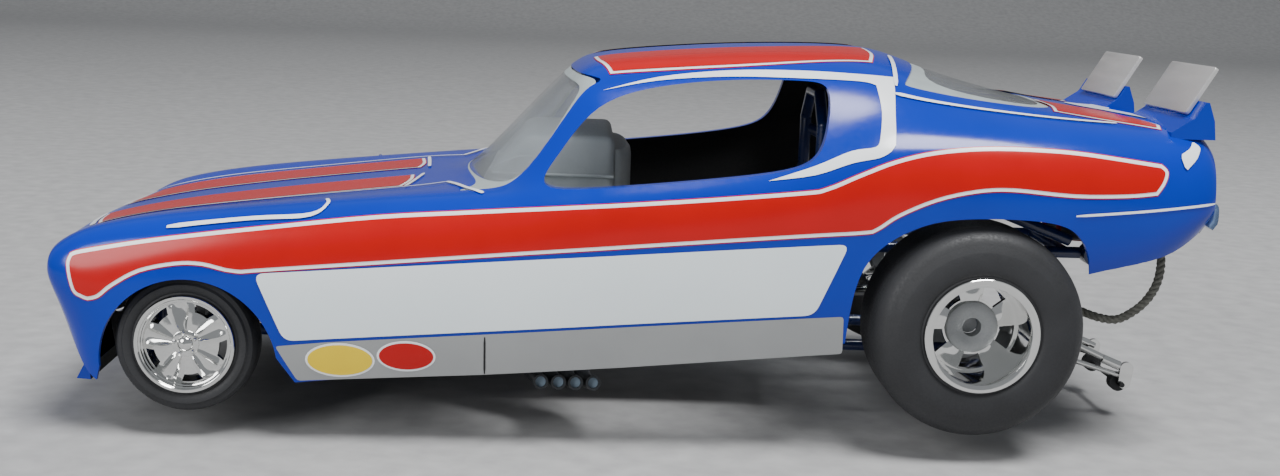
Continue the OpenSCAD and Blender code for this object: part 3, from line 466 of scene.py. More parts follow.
# shell
shell = {"wall": 1.2, "outerSteps": (6, 8), "innerSteps": (3, 4),
         "sideWindow": [(-17.6, 36.6), (-13.4, 41.8), (-8.2, 50.2), (2, 53.0), (14, 54.4), (26, 54.6),
                        (29.4, 54.2), (28.6, 48.6), (27, 43.2), (22, 40.9), (4, 38.6), (-8, 37.4)],
         "windshieldSide": [(28.8, 35.6), (27.6, 38.4), (23.4, 52.0), (22.2, 53.9), (18.6, 54.1), (8, 54.2),
                            (0, 54.2)],
         "windshieldSill": [(0, 36.4), (9, 36.4), (20, 36.3), (27, 35.6)],
         "rearWindow": [(46.2, 0), (45.4, 12), (41.8, 23.0), (40.8, 24.2), (44, 24.0), (60, 23.4),
                        (66.8, 20.6), (68.4, 12), (68.8, 0)],
         "grille": [(-14, 22.6), (14, 22.6), (14.8, 19), (12.6, 11.6), (9, 9.6), (-9, 9.6), (-12.6, 11.6),
                    (-14.8, 19)],
         "headlamp": (21.6, 19.2, 4.2), "tailLamp": ((13.5, 20.6), 42, 2.9),
         "frontWheel": (-70.5, 11.0, 22.0), "rearWheel": (53.0, 16.9, 33.8), "archGap": 1.0,
         "chinLip": [(-87.5, 10.2), (-87.7, 8.6), (-87.4, 6.2), (-88.6, 3.9), (-85.7, 3.7), (-85.7, 10.2)],
         "ramp": [(83.6, 48.6), (87.15, 50.95), (87.5, 51.35), (88.75, 53.5), (89.3, 53.5), (90.4, 50.6),
                  (90.8, 47.6), (83.6, 47.6)], "rampSpan": (6.6, 28)}


def circleLoop(centre, radius, count=48):
    return [(centre[0] + radius * math.cos(2 * math.pi * k / count),
             centre[1] + radius * math.sin(2 * math.pi * k / count)) for k in range(count)]


def windshieldLoop(values):
    right = values["windshieldSill"] + values["windshieldSide"]
    return smoothLoop(right + [(-y, z) for y, z in right[-2:0:-1]], 6)


def rearWindowLoop(values):
    right = values["rearWindow"]
    return smoothLoop(right + [(x, -y) for x, y in right[-2:0:-1]], 6)


def rearArchLoop(values):
    x, z, size = values["rearWheel"]
    r = size / 2
    top, front, back = z + r + values["archGap"] * 0.9, x - r - values["archGap"] * 4, x + r + 0.4
    return smoothLoop([(front, -6), (front, z - 6), (front + 0.4, z + 7), (front + 3.4, top - 4.6),
                       (front + 11, top - 0.2), (x - 2, top + 0.6), (x + 8, top + 0.5),
                       (back - 3.6, top - 0.6),
                       (back - 0.6, top - 4.6), (back + 0.4, top - 10), (back + 0.5, -6)], 8)


def frontArchLoops(values):
    x, z, size = values["frontWheel"]
    r = size / 2 + values["archGap"] + 1.8
    c = x + 0.7
    return [circleLoop((c, z - 3.1), r, 96), [(c - r + 0.4, -5), (c + r - 0.4, -5), (c + r - 0.4, z - 2),
                                              (c - r + 0.4, z - 2)],
            [(c - r - 2.4, -2), (x + r + 8.4, -2), (x + r - 1, z + 1), (x - r + 2, z + 1)]]


def combine(piece, other, operation):
    step = piece.modifiers.new("cut", "BOOLEAN")
    step.operation, step.solver, step.object = operation, "MANIFOLD", other
    bakeModifiers(piece)
    bpy.data.objects.remove(other)


def shellCutters(values):
    cuts = [prism(windshieldLoop(values), "x", -40, -5), prism(rearWindowLoop(values), "z", 46, 64),
            prism(smoothLoop(values["grille"], 6), "x", -97, -84)]
    y, z, r = values["headlamp"]
    cuts += [prism(circleLoop((s * y, z), r), "x", -97, -84) for s in (-1, 1)]
    ys, z, r = values["tailLamp"]
    cuts += [prism(circleLoop((s * y, z), r), "x", 86, 98) for s in (-1, 1) for y in ys]
    for loop in [smoothLoop(values["sideWindow"], 6), rearArchLoop(values)] + frontArchLoops(values):
        cuts += [prism(loop, "y", 20, 46), prism(loop, "y", -46, -20)]
    return cuts


def rawPiece(name, shape):
    mesh = bpy.data.meshes.new(name)
    mesh.from_pydata(shape[0], [], shape[1])
    piece = bpy.data.objects.new(name, mesh)
    bpy.context.scene.collection.objects.link(piece)
    return piece


def buildShell(values):
    piece = rawPiece("bodyShell", gridShape(bodyGrid(body["drawIn"], *values["outerSteps"])))
    inner, outer = values["rampSpan"]
    combine(piece, rawPiece("lip", prism(values["chinLip"], "y", -28.5, 28.5)), "UNION")
    for a, b in ((inner, outer), (-outer, -inner)):
        combine(piece, rawPiece("ramp", prism(values["ramp"], "y", a, b)), "UNION")
    insideGrid = bodyGrid(values["wall"], *values["innerSteps"])
    combine(piece, rawPiece("inside", gridShape(insideGrid)), "DIFFERENCE")
    for cut in shellCutters(values):
        combine(piece, rawPiece("cut", cut), "DIFFERENCE")
    paintShell(piece.data, surfaceOf(insideGrid))
    piece.data.transform(Matrix.Scale(mm, 4))
    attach(piece, "tilt_body")
    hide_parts("body_shell")
    print("shell faces:", len(piece.data.polygons))


# Blue outside and on cut edges, black inside; outside faces take the smooth surface's own normals.
def paintShell(mesh, insideSurface):
    mesh.materials.clear()
    for finish in ("blueEnamel", "blackInside"):
        mesh.materials.append(finishes[finish])
    mesh.polygons.foreach_set("material_index", [0] * len(mesh.polygons))
    finishMesh(mesh, 40)
    normals = [(0.0, 0.0, 0.0)] * len(mesh.loops)
    for face in mesh.polygons:
        centre = face.center
        place, _, index, distance = outerSurface["tree"].find_nearest(centre)
        if distance < 0.12 and abs(smoothNormal(outerSurface, index, place).dot(face.normal)) > 0.9:
            for loop in face.loop_indices:
                corner = mesh.vertices[mesh.loops[loop].vertex_index].co
                place, _, index, _ = outerSurface["tree"].find_nearest(corner)
                normals[loop] = tuple(smoothNormal(outerSurface, index, place))
            continue
        place, direction, _, distance = insideSurface["tree"].find_nearest(centre)
        if distance < 0.12 and abs(direction.dot(face.normal)) > 0.9:
            face.material_index = 1
    mesh.normals_split_custom_set(normals)


buildShell(shell)
print("shell ready")

# patches that lie on the shell: decals and glass

# Closed outline from runs of points that share their ends: smooth along a run, sharp where runs meet.
def runs(*parts, steps=4):
    out = []
    for part in parts:
        out += (curveThrough(part, steps) if len(part) > 2 else list(part))[:-1]
    return out


# The outline moved outward by amount, with limited corners.
def grown(outline, amount):
    n = len(outline)
    area = sum(outline[i][0] * outline[(i + 1) % n][1] - outline[(i + 1) % n][0] * outline[i][1]
               for i in range(n))
    way = amount if area > 0 else -amount
    out = []
    for i in range(n):
        before, here, after = Vector(outline[i - 1]), Vector(outline[i]), Vector(outline[(i + 1) % n])
        a, b = (here - before).normalized(), (after - here).normalized()
        corner = Vector((a.y + b.y, -a.x - b.x))
        size = max(corner.length, 0.9)
        out.append(tuple(here + corner / size * way * min(2 / size, 1.6)))
    return out


def insideOf(outline, p):
    n, hit = len(outline), False
    for i in range(n):
        (ax, ay), (bx, by) = outline[i], outline[(i + 1) % n]
        if (ay > p[1]) != (by > p[1]) and p[0] < ax + (p[1] - ay) * (bx - ax) / (by - ay):
            hit = not hit
    return hit


# Place, normal of the outer surface met by a ray: left reads (x, z), top (x, y), front and back (y, z).
def onShell(side, a, b):
    start, way = {"left": ((a, -60, b), (0, 1, 0)), "top": ((a, b, 80), (0, 0, -1)),
                  "front": ((-120, a, b), (1, 0, 0)), "back": ((120, a, b), (-1, 0, 0))}[side]
    place, _, index, _ = outerSurface["tree"].ray_cast(Vector(start), Vector(way))
    if place is None:
        place, _, index, _ = outerSurface["tree"].find_nearest(Vector(start) + Vector(way) * 60)
    return place, smoothNormal(outerSurface, index, place)


# A patch on the shell inside an outline. One lift gives a film, two lifts a solid panel. inner marks a part
# of its face that has the second material.
def layOn(outline, side, lifts, step=1.0, inner=None):
    fine = []
    for loop in [outline] + ([inner] if inner else []):
        points = []
        for i, p in enumerate(loop):
            q = loop[(i + 1) % len(loop)]
            parts = max(1, math.ceil(math.dist(p, q) / step))
            points += [(p[0] + (q[0] - p[0]) * k / parts,
                        p[1] + (q[1] - p[1]) * k / parts) for k in range(parts)]
        fine.append(points)
    flat = [p for loop in fine for p in loop]
    edges, base = [], 0
    for loop in fine:
        edges += [(base + i, base + (i + 1) % len(loop)) for i in range(len(loop))]
        base += len(loop)
    low, high = np.min(flat, 0), np.max(flat, 0)
    edgePoints = np.array(flat)
    for i in range(1, int((high[0] - low[0]) / step)):
        for j in range(1, int((high[1] - low[1]) / step)):
            p = (low[0] + i * step, low[1] + j * step)
            if insideOf(outline, p) and np.min(np.hypot(*(edgePoints - p).T)) > step * 0.45:
                flat.append(p)
    spots, _, triangles, _, _, _ = delaunay_2d_cdt([Vector(p) for p in flat], edges,
                                                   [list(range(len(fine[0])))], 1, 1e-5)
    met = [onShell(side, *p) for p in spots]
    faces, painted = [], []
    for t in triangles:
        a, b, c = (met[i][0] for i in t)
        face = list(t) if (b - a).cross(c - a).dot(met[t[0]][1]) > 0 else list(t)[::-1]
        faces.append(face)
        middle = sum((spots[i] for i in t), Vector((0, 0))) / 3
        painted.append(0 if not inner or insideOf(inner, middle) else 1)
    points = [tuple(p + n * lifts[0]) for p, n in met]
    normals = [tuple(n) for _, n in met]
    if len(lifts) > 1:
        count, front = len(points), list(faces)
        points += [tuple(p + n * lifts[1]) for p, n in met]
        normals += [(0, 0, 0)] * count
        faces += [[i + count for i in face[::-1]] for face in front]
        painted += list(painted)
        used = {(f[i], f[(i + 1) % 3]) for f in front for i in range(3)}
        rim = [(a, b) for a, b in used if (b, a) not in used]
        faces += [[b, a, a + count, b + count] for a, b in sorted(rim)]
        painted += [1] * len(rim)
    return {"shape": (points, faces), "normals": normals, "painted": painted}


def bothPatches(patch):
    points, faces = patch["shape"]
    return {"shape": bothSides(patch["shape"]), "painted": patch["painted"] * 2,
            "normals": patch["normals"] + [(x, -y, z) for x, y, z in patch["normals"]]}


def placePatch(name, patches, material, replaces=()):
    shape = joined(*[p["shape"] for p in patches])
    normals = [n for p in patches for n in p["normals"]]
    painted = [m for p in patches for m in p["painted"]]
    piece = makePiece(name, shape, material, "tilt_body", replaces, faceMaterials=painted)
    piece.data.normals_split_custom_set_from_vertices(normals)
    return piece


glass = {"lifts": (-0.15, -0.8), "fit": -0.14,
         "windshieldClear": [(0, 36.7), (9, 36.7), (22, 36.7), (27.2, 37.2), (28.0, 38.2), (23.8, 49.2),
                             (22.4, 52.4), (18.4, 53.0), (8, 53.1), (0, 53.1)],
         "rearClear": [(48.6, 0), (47.6, 12), (44.4, 21.4), (60, 20.9), (65.2, 18.4), (66.6, 12), (67, 0)]}


def buildGlass(values):
    # clear injection-moulded styrene: smooth, slightly milky, the moulding's own grey showing at its edges
    clear = makeFinish("clearStyrene", "#e9eef2", "#dfe6eb", 0.09, 0.03, patch=20, grain=3, relief=0.002,
                       extra={"Transmission Weight": 0.86, "IOR": 1.59, "Alpha": 0.55})
    right = values["windshieldClear"]
    clearFront = smoothLoop(right + [(-y, z) for y, z in right[-2:0:-1]], 4)
    right = values["rearClear"]
    clearRear = smoothLoop(right + [(x, -y) for x, y in right[-2:0:-1]], 4)
    for name, loop, side, inner in (("windshieldGlass", windshieldLoop(shell), "front", clearFront),
                                    ("rearGlass", rearWindowLoop(shell), "top", clearRear)):
        node = "windshield" if side == "front" else "rear_window"
        panel = layOn(grown(loop, values["fit"]), side, values["lifts"], 1.6, inner)
        placePatch(name, [panel], [clear, finishes["greyTrim"]], [node])


buildGlass(glass)
print("glass ready")

# Each stripe is a red film on a white one, with a hairline of red round the white. Side outlines are
# (x, z), top outlines are (x, y); the other side of the car gets the mirrored film.
stripes = {"fill": -0.28, "white": 0.28, "hairline": 0.45, "films": (0.05, 0.12, 0.19),
    "side": [[(-87.6, 24.5), (-85.9, 25.1), (-78.3, 26.7), (-70.6, 28.0), (-58, 29.8), (-41, 32),
              (-23.7, 33.5), (5.5, 36.1), (23.7, 38.1), (27.7, 38.9), (32.8, 41.2), (38.1, 43.4),
              (44.2, 44.9), (52.1, 45.7), (60.6, 45.7), (68.5, 45.2), (80.4, 43.7)],
             [(80.4, 43.7), (81.3, 42.8), (80.8, 41.2), (79.6, 39.6)],
             [(79.6, 39.6), (74.7, 39.2), (66, 39.1), (56.2, 39.8), (50.4, 39.4), (44.4, 37.9), (38.9, 35.4),
              (35.6, 33.1), (33.4, 32.5), (23.9, 31.6), (-12.5, 28.1), (-55.3, 23.9), (-62, 23.3),
              (-67.1, 24.2), (-71.3, 24.1), (-76.8, 22.8), (-81, 20.4), (-83.2, 18.6), (-84.8, 18.1)],
             [(-84.8, 18.1), (-85.8, 18.4), (-87.1, 19.3), (-88, 22.9), (-87.6, 24.5)]],
    "hood": [[(-90, 5.6), (-70, 5.4), (-38.6, 5.2)], [(-38.6, 5.2), (-38.3, 11), (-39.2, 18.2)],
             [(-39.2, 18.2), (-60, 18.2), (-87.6, 18)], [(-87.6, 18), (-89.2, 12), (-90, 5.6)]],
    "roof": [[(-7.8, 7.6), (10, 8.2), (24, 7.6), (37.6, 5.2)], [(37.6, 5.2), (37.9, 12), (36.6, 18.4)],
             [(36.6, 18.4), (20, 20.3), (5, 20.8), (-5.4, 20.9)], [(-5.4, 20.9), (-7.2, 14), (-7.8, 7.6)]],
    "deck": [[(66.4, 22.8), (76, 24.6), (82.4, 25.6)], [(82.4, 25.6), (83.2, 23)],
             [(83.2, 23), (79, 12.4), (76.6, 9.4), (66.9, 9.4)], [(66.9, 9.4), (67.6, 16), (66.4, 22.8)]]}


def buildStripes(values):
    sets = {"side": "left", "hood": "top", "roof": "top", "deck": "top"}
    for rank, (key, finish, grow) in enumerate((("Hairline", "redDecal", values["hairline"]),
                                                ("Edge", "whiteDecal", values["white"]),
                                                ("Fill", "redDecal", values["fill"]))):
        patches = []
        for part, side in sets.items():
            outline = grown(runs(*values[part]), grow)
            patches.append(bothPatches(layOn(outline, side, (values["films"][rank],), 1.1)))
        placePatch("stripe" + key, patches, finishes[finish])


# Closed outline of a line of this width, narrowed a little at its ends.
def ribbonOutline(line, width):
    line = curveThrough(line, 5)
    left, right = [], []
    for i, p in enumerate(line):
        a, b = Vector(line[max(i - 1, 0)]), Vector(line[min(i + 1, len(line) - 1)])
        along = (b - a).normalized()
        half = width / 2 * (0.55 if i in (0, len(line) - 1) else 1)
        left.append((p[0] - along.y * half, p[1] + along.x * half))
        right.append((p[0] + along.y * half, p[1] - along.x * half))
    return left + right[::-1]


whiteWork = {
    "panel": [(-59.3, 23.0), (31.6, 30.6), (27.0, 19.0), (-54.8, 12.5)],
    "window": [[(-6.9, 51.8), (2, 54.1), (13.4, 55.5), (25, 55.9), (34.6, 55.7), (39.6, 55.4)],
               [(39.6, 55.4), (38.8, 50.4), (38.1, 45.8)], [(38.1, 45.8), (37.4, 44.9)],
               [(37.4, 44.9), (35.6, 43.9), (31.5, 42.9), (25.9, 40.9), (18.8, 39.7)],
               [(18.8, 39.7), (25.9, 42.2), (31.4, 44.6), (35.1, 45.4), (35.9, 46.6)],
               [(35.9, 46.6), (36.7, 50.4), (36.4, 54.2)],
               [(36.4, 54.2), (33.8, 54.7), (24.8, 54.8), (13.3, 54.6), (2, 53.6), (-6.9, 51.8)]],
    "sword": [[(75.4, 0), (76.6, 3.6), (80, 6.6), (84.4, 12.4), (86, 20), (84.6, 27.4)],
              [(84.6, 27.4), (87.2, 27.2)],
              [(87.2, 27.2), (88.4, 22.4), (88.4, 14.8), (86, 7), (83.8, 1.2), (83.4, 0)]],
    "linesTop": [([(-88.6, 20.2), (-60, 20.2), (-39.4, 20.4), (-31.2, 18.0)], 0.5),
                 ([(-38.2, 19.4), (-37.4, 12), (-36.7, 4.6)], 0.6),
                 ([(87.5, 28.5), (86.4, 30.2), (84.3, 31.7)], 1.3),
                 ([(39.2, 26.6), (46, 26.8), (54, 27), (62, 27), (69, 26.6), (75.4, 25.8)], 0.6),
                 ([(-73, 32.2), (-60, 32.5), (-51, 32.8), (-48.8, 30.9), (-49.3, 28.4)], 0.55),
                 ([(-90.6, 4.6), (-90.2, 12), (-88.6, 18.9)], 0.9),
                 ([(-31.6, 17.9), (-29.8, 21.8), (-27.7, 27), (-24.9, 31)], 0.75),
                 ([(39.6, 25), (40.6, 17), (41.4, 9.6)], 0.7)],
    "linesSide": [([(66.5, 36.0), (78.7, 36.9), (90.2, 37.9)], 0.4)],
    "rocker": [(-56.2, 11.6), (-48.1, 12.5), (31.6, 18.9), (32.0, 12.6), (-2.7, 9.3), (-24.7, 7.6),
               (-53, 5.9)],
    "rockerSeam": [(-24, 7.8), (-24, 14)], "spots": [((-46.3, 9.6), 5.0, 2.5, "yellowDecal"),
                                                      ((-36.1, 10.5), 4.2, 2.2, "redDecal")]}


def roundedOutline(corners, radius, steps=5):
    out = []
    for i, p in enumerate(corners):
        before, after = Vector(corners[i - 1]), Vector(corners[(i + 1) % len(corners)])
        here = Vector(p)
        a, b = here + (before - here).normalized() * radius, here + (after - here).normalized() * radius
        for k in range(steps + 1):
            t = k / steps
            out.append(tuple((1 - t) ** 2 * a + 2 * t * (1 - t) * here + t * t * b))
    return out


def buildWhiteWork(values):
    film = stripes["films"]
    panel = bothPatches(layOn(roundedOutline(values["panel"], 1.6), "left", (film[1],), 1.6))
    placePatch("doorPanel", [panel], finishes["paleDecal"])
    white = [bothPatches(layOn(runs(*values["window"]), "left", (film[1],), 1.2)),
             bothPatches(layOn(runs(*values["sword"]), "top", (film[1],), 1.2))]
    for key, side in (("linesTop", "top"), ("linesSide", "left")):
        white += [bothPatches(layOn(ribbonOutline(line, width), side, (film[2] + 0.05,), 1.0))
                  for line, width in values[key]]
    placePatch("whiteLines", white, finishes["whiteDecal"])
    rocker = bothPatches(layOn(roundedOutline(values["rocker"], 0.5, 2), "left", (film[0],), 1.8))
    placePatch("rockerPanel", [rocker], finishes["silverLacquer"])
    seam = bothPatches(layOn(ribbonOutline(values["rockerSeam"], 0.3), "left", (film[1],), 1.2))
    placePatch("rockerSeam", [seam], finishes["blackInside"])
    for rank, ((x, z), wide, tall, finish) in enumerate(values["spots"]):
        for part, grow, colour, lift in (("Rim", 0.35, "whiteDecal", film[1]), ("Spot", 0, finish, film[2])):
            oval = [(x + (wide + grow) * math.cos(a), z + (tall + grow) * math.sin(a))
                    for a in (2 * math.pi * k / 32 for k in range(32))]
            placePatch(f"rockerOval{part}{rank + 1}", [bothPatches(layOn(oval, "left", (lift,), 1.0))],
                       finishes[colour])


buildStripes(stripes)
buildWhiteWork(whiteWork)
print("livery ready")

# turned and spoked parts: made for the left side, mirrored for the right

# A profile of (radius, distance outward) turned about an axle at centre; outward is to the left, -Y.
def lathe(profile, centre, count=96, wrap=True):
    x, y, z = centre
    n = len(profile)
    points = []
    for k in range(count):
        a = 2 * math.pi * k / count
        points += [(x + r * math.cos(a), y - h, z + r * math.sin(a)) for r, h in profile]
    faces = [[k * n + i, k * n + (i + 1) % n, (k + 1) % count * n + (i + 1) % n, (k + 1) % count * n + i]
             for k in range(count) for i in range(n if wrap else n - 1)]
    if not wrap:
        faces += [[k * n for k in range(count)], [k * n + n - 1 for k in range(count)]]
    return points, faces


# A disc with five windows between the radii of window; height(r, v) is its face, v crossing each spoke.
def spokedDisc(centre, radii, window, halfAngles, first, height, thick):
    x, y, z = centre
    columns = [(-1 + i / 3, None) for i in range(6)] + [(1, v / 10) for v in range(11)][:-1]
    rows, count = len(radii), len(columns) * 5
    points, faces = [], []
    for depth in (0, thick):
        for r in radii:
            share = min(max((r - window[0]) / (window[1] - window[0]), 0), 1)
            half = halfAngles[0] + (halfAngles[1] - halfAngles[0]) * share
            for sector in range(5):
                for u, v in columns:
                    turn = half * u if v is None else half + (72 - 2 * half) * v
                    a = math.radians(first + 72 * sector + turn)
                    points.append((x + r * math.cos(a), y - height(r, v or 0) + depth, z + r * math.sin(a)))
    for g in range(rows - 1):
        for k in range(count):
            inWindow = (columns[k % len(columns)][1] is None and window[0] <= radii[g]
                        and radii[g + 1] <= window[1] + 1e-6)
            if not inWindow:
                faces.append([g * count + k, g * count + (k + 1) % count, (g + 1) * count + (k + 1) % count,
                              (g + 1) * count + k])
    base = rows * count
    used = {(f[i], f[(i + 1) % 4]) for f in faces for i in range(4)}
    rim = sorted((a, b) for a, b in used if (b, a) not in used)
    faces += [[i + base for i in face[::-1]] for face in faces] + [[b, a, a + base, b + base] for a, b in rim]
    return points, faces


def solidBox(low, high):
    (a, b, c), (d, e, f) = low, high
    return prism([(a, b), (d, b), (d, e), (a, e)], "z", c, f)


# A closed piece whose faces are all turned outward.
def outwardPiece(name, shape, material, body, replaces=(), sharp=35, bevel=0):
    piece = makePiece(name, shape, material, body, replaces, sharp, bevel)
    work = bmesh.new()
    work.from_mesh(piece.data)
    loose = [v for v in work.verts if not v.link_faces]
    bmesh.ops.delete(work, geom=loose, context="VERTS")
    bmesh.ops.recalc_face_normals(work, faces=work.faces)
    work.to_mesh(piece.data)
    work.free()
    return piece


finishes.update({
    # vulcanised rubber: dark, matt, a grey bloom in patches and fine mould marks
    "rubber": makeFinish("mouldedRubber", "#1a1b1d", "#2c2d30", 0.56, 0.14, patch=5, grain=0.35, relief=0.03),
    # vacuum-plated kit chrome: mirror bright, slightly warm, with tiny ripples
    "chrome": makeFinish("platedChrome", "#e6e6e4", "#d5d6d4", 0.07, 0.05, metallic=1.0, patch=4, grain=1.4,
                         relief=0.012),
    # satin plating: the same metal dulled, so that highlights spread
    "satinPlate": makeFinish("satinPlate", "#cfcfc9", "#c0c0ba", 0.3, 0.1, metallic=1.0, patch=3, grain=0.5,
                             relief=0.01),
    # rolled aluminium sheet: soft streaks along the roll
    "sheetAluminium": makeFinish("rolledAluminium", "#dcdbd9", "#cccbca", 0.34, 0.1, metallic=0.6, patch=5,
                                 grain=1.2, relief=0.004, stretch=(1, 0.12, 1)),
    # satin black paint on small parts
    "satinBlack": makeFinish("satinBlackPaint", "#17181a", "#0f1012", 0.4, 0.12, patch=3, grain=0.4,
                             relief=0.015),
    # thinned dark blue enamel on the frame tubes: glossy, shifting at random in small patches between two
    # dark blues
    "frameBlue": makeFinish("darkBlueEnamel", "#14295e", "#0c1c46", 0.3, 0.08, patch=3, grain=0.6,
                            relief=0.01,
                            extra={"Coat Weight": 0.4}),
    # pale metallic blue over plating on the bumper
    "paleBlue": makeFinish("paleBlueLacquer", "#7f9cc8", "#6f8dbb", 0.24, 0.08, metallic=0.5, patch=4,
                           grain=0.6,
                           relief=0.01, extra={"Coat Weight": 0.4}),
    # grey painted tin: dull metallic, brush marks, thin at its edges
    "tinGrey": makeFinish("paintedTin", "#b3babc", "#a0a7aa", 0.4, 0.12, metallic=0.1, patch=3, grain=0.5,
                          relief=0.03),
    "tinPale": makeFinish("palePaintedTin", "#c3c9ca", "#b0b6b8", 0.4, 0.12, metallic=0.1, patch=3, grain=0.5,
                          relief=0.03),
    # sand-cast alloy: coarse even grain, soft shine
    "castAlloy": makeFinish("castAlloy", "#a3a5a6", "#86898b", 0.48, 0.14, metallic=0.7, patch=2.5,
                            grain=0.25,
                            relief=0.05),
    "pipeBlack": makeFinish("heatproofBlack", "#15171a", "#22262b", 0.5, 0.12, patch=2, grain=0.3,
                            relief=0.03),
    "pipeInside": makeFinish("paleBlueGrey", "#8fa3b4", "#76899a", 0.5, 0.12, patch=1, grain=0.3,
                             relief=0.03),
    # red webbing: dull, ribbed by its weave of about a third of a millimetre
    "redWebbing": makeFinish("wovenRedStrap", "#b4160f", "#7d0e0a", 0.8, 0.08, patch=0.6, grain=0.16,
                             relief=0.06),
    # packed nylon canvas: faint sheen, mottled by its weave
    "packCanvas": makeFinish("wovenBlackCanvas", "#303338", "#202327", 0.82, 0.1, patch=1.6, grain=0.18,
                             relief=0.08,
                             extra={"Sheen Weight": 0.25}),
    "lampRed": makeFinish("tintedRedStyrene", "#a80c08", "#8c0806", 0.14, 0.04, patch=2, grain=0.6,
                          relief=0.02,
                          extra={"Transmission Weight": 0.25, "IOR": 1.55}),
    "lampClear": makeFinish("flutedClearStyrene", "#eef2f4", "#e2e7ea", 0.1, 0.04, patch=2, grain=0.5,
                            relief=0.03,
                            extra={"Transmission Weight": 0.7, "Alpha": 0.6, "IOR": 1.59}),
})

wheels = {"frontCentre": (-70.5, -29.9, 11.0), "rearCentre": (53.0, -30.3, 16.9),
          "lugCircle": 1.72, "firstLug": 98,
          "frontTyre": {"r": 11.0, "bead": 7.3, "w": 3.2, "shoulder": 1.5},
          "rearTyre": {"r": 16.9, "bead": 8.65, "w": 7.7, "shoulder": 2.9},
          "frontRim": [(7.26, -2.3), (7.26, 2.35), (7.6, 2.75), (7.74, 3.1), (7.74, 3.36), (7.64, 3.47),
                       (7.24, 3.47), (7.12, 3.36), (7.06, 3.02), (6.86, 2.96), (6.78, 2.6), (6.6, 2.5),
                       (6.5, 2.1), (6.44, 0.9), (6.44, -2.3)],
          "rearRim": [(8.6, -6.8), (8.6, 6.85), (9.0, 7.35), (9.08, 7.55), (9.08, 7.86), (8.98, 7.96),
                      (7.95, 7.96), (7.82, 7.88), (7.76, 7.6), (7.7, 5.5), (7.6, 3.2), (7.45, 1.4),
                      (7.3, 0.4), (7.3, -6.8)],
          "frontCap": [(0.0, 3.3), (0.5, 3.24), (0.95, 3.0), (1.22, 2.7), (1.3, 2.35), (1.3, 1.2),
                       (0.0, 1.2)],
          "frontHub": [(0.86, 0.3), (2.2, 0.3), (2.2, 2.2), (2.05, 2.5), (1.75, 2.6), (0.86, 2.6)],
          "rearBoss": [(1.46, -0.85), (4.0, -0.85), (4.2, 0.1), (4.2, 1.15), (4.12, 1.38), (3.9, 1.5),
                       (2.5, 1.5), (2.3, 1.38), (1.7, 1.38), (1.52, 1.3), (1.46, 1.1)]}


def tyreProfile(v):
    r, b, w, s = v["r"], v["bead"], v["w"], v["shoulder"]
    half = [(b, w - 0.9), (b + 0.25, w - 0.5), (b + 0.6, w - 0.34), (b + 0.85, w - 0.42),
            (b + 1.05, w - 0.24),
            (b + 1.5, w - 0.07), (b + 1.9, w - 0.02), ((b + r) / 2 + 0.3, w - 0.01), (r - s * 1.25, w - 0.12),
            (r - s * 0.9, w - 0.34), (r - s * 0.86, w - 0.42), (r - s * 0.7, w - 0.5),
            (r - s * 0.42, w - s * 0.42),
            (r - s * 0.2, w - s * 0.68), (r - s * 0.06, w - s * 0.98), (r, w - s * 1.35)]
    tread = [(r - 0.02, w - s * 1.35 - 0.35), (r, w - s * 1.35 - 0.7), (r, 0)]
    right = half + tread
    return right + [(q, -h) for q, h in right[-2::-1]]


def smoothStep(a, b, x):
    t = min(max((x - a) / (b - a), 0), 1)
    return t * t * (3 - 2 * t)


def frontFace(r, v):
    rib = math.exp(-((v - 0.2) / 0.1) ** 2) + math.exp(-((v - 0.8) / 0.1) ** 2) if v else 0
    fade = smoothStep(1.6, 2.6, r) * (1 - smoothStep(6.0, 6.4, r))
    return 2.35 - 0.5 * smoothStep(2.2, 6.5, r) + 0.42 * rib * fade - 0.2 * math.sin(math.pi * v) * fade


def rearFace(r, v):
    rib = math.sin(math.pi * v) if v else 0
    return 0.7 + 0.35 * smoothStep(7.4, 4.0, r) if r > 7.4 else 0.7 + 0.3 * rib * smoothStep(7.3, 5, r)


def buildWheels(v):
    front, rear = v["frontCentre"], v["rearCentre"]
    lugs = []
    for k in range(5):
        a = math.radians(v["firstLug"] + 72 * k)
        spot = (front[0] + v["lugCircle"] * math.cos(a), front[1], front[2] + v["lugCircle"] * math.sin(a))
        lugs.append(lathe([(0.0, 3.0), (0.2, 3.0), (0.3, 2.9), (0.3, 2.4), (0.0, 2.4)], spot, 6))
    frontDisc = spokedDisc(front, [0.9, 1.6, 2.2, 2.8, 3.4, 4.0, 4.6, 5.1, 5.5, 5.9, 6.3, 6.5], (5.1, 6.3),
                           (12, 16), 62, frontFace, 0.9)
    rearDisc = spokedDisc(rear, [3.9, 4.25, 4.6, 5.1, 5.6, 6.1, 6.6, 7.0, 7.35], (4.6, 7.0), (15, 17), 58,
                          rearFace, 0.85)
    sets = (("front", "wheel", joined(lathe(v["frontRim"], front), lathe(v["frontHub"], front, 48),
                                      lathe(v["frontCap"], front, 40), frontDisc, *lugs), "chrome"),
            ("rear", "wheel", joined(lathe(v["rearRim"], rear, 120), rearDisc), "chrome"),
            ("front", "tyre", lathe(tyreProfile(v["frontTyre"]), front, 120), "rubber"),
            ("rear", "tyre", lathe(tyreProfile(v["rearTyre"]), rear, 144), "rubber"))
    for end, kind, shape, finish in sets:
        for side in ("left", "right"):
            one = shape if side == "left" else mirrored(shape)
            outwardPiece(f"{end}{kind.title()}{side.title()}", one, finishes[finish], f"{end}_{side}_wheel",
                         [f"{end}_{kind}_{side}"], 32)
    for side in ("left", "right"):
        boss = lathe(v["rearBoss"], rear, 64)
        outwardPiece(f"rearBoss{side.title()}", boss if side == "left" else mirrored(boss),
                     finishes["castAlloy"], f"rear_{side}_wheel", ())


buildWheels(wheels)
print("wheels ready")

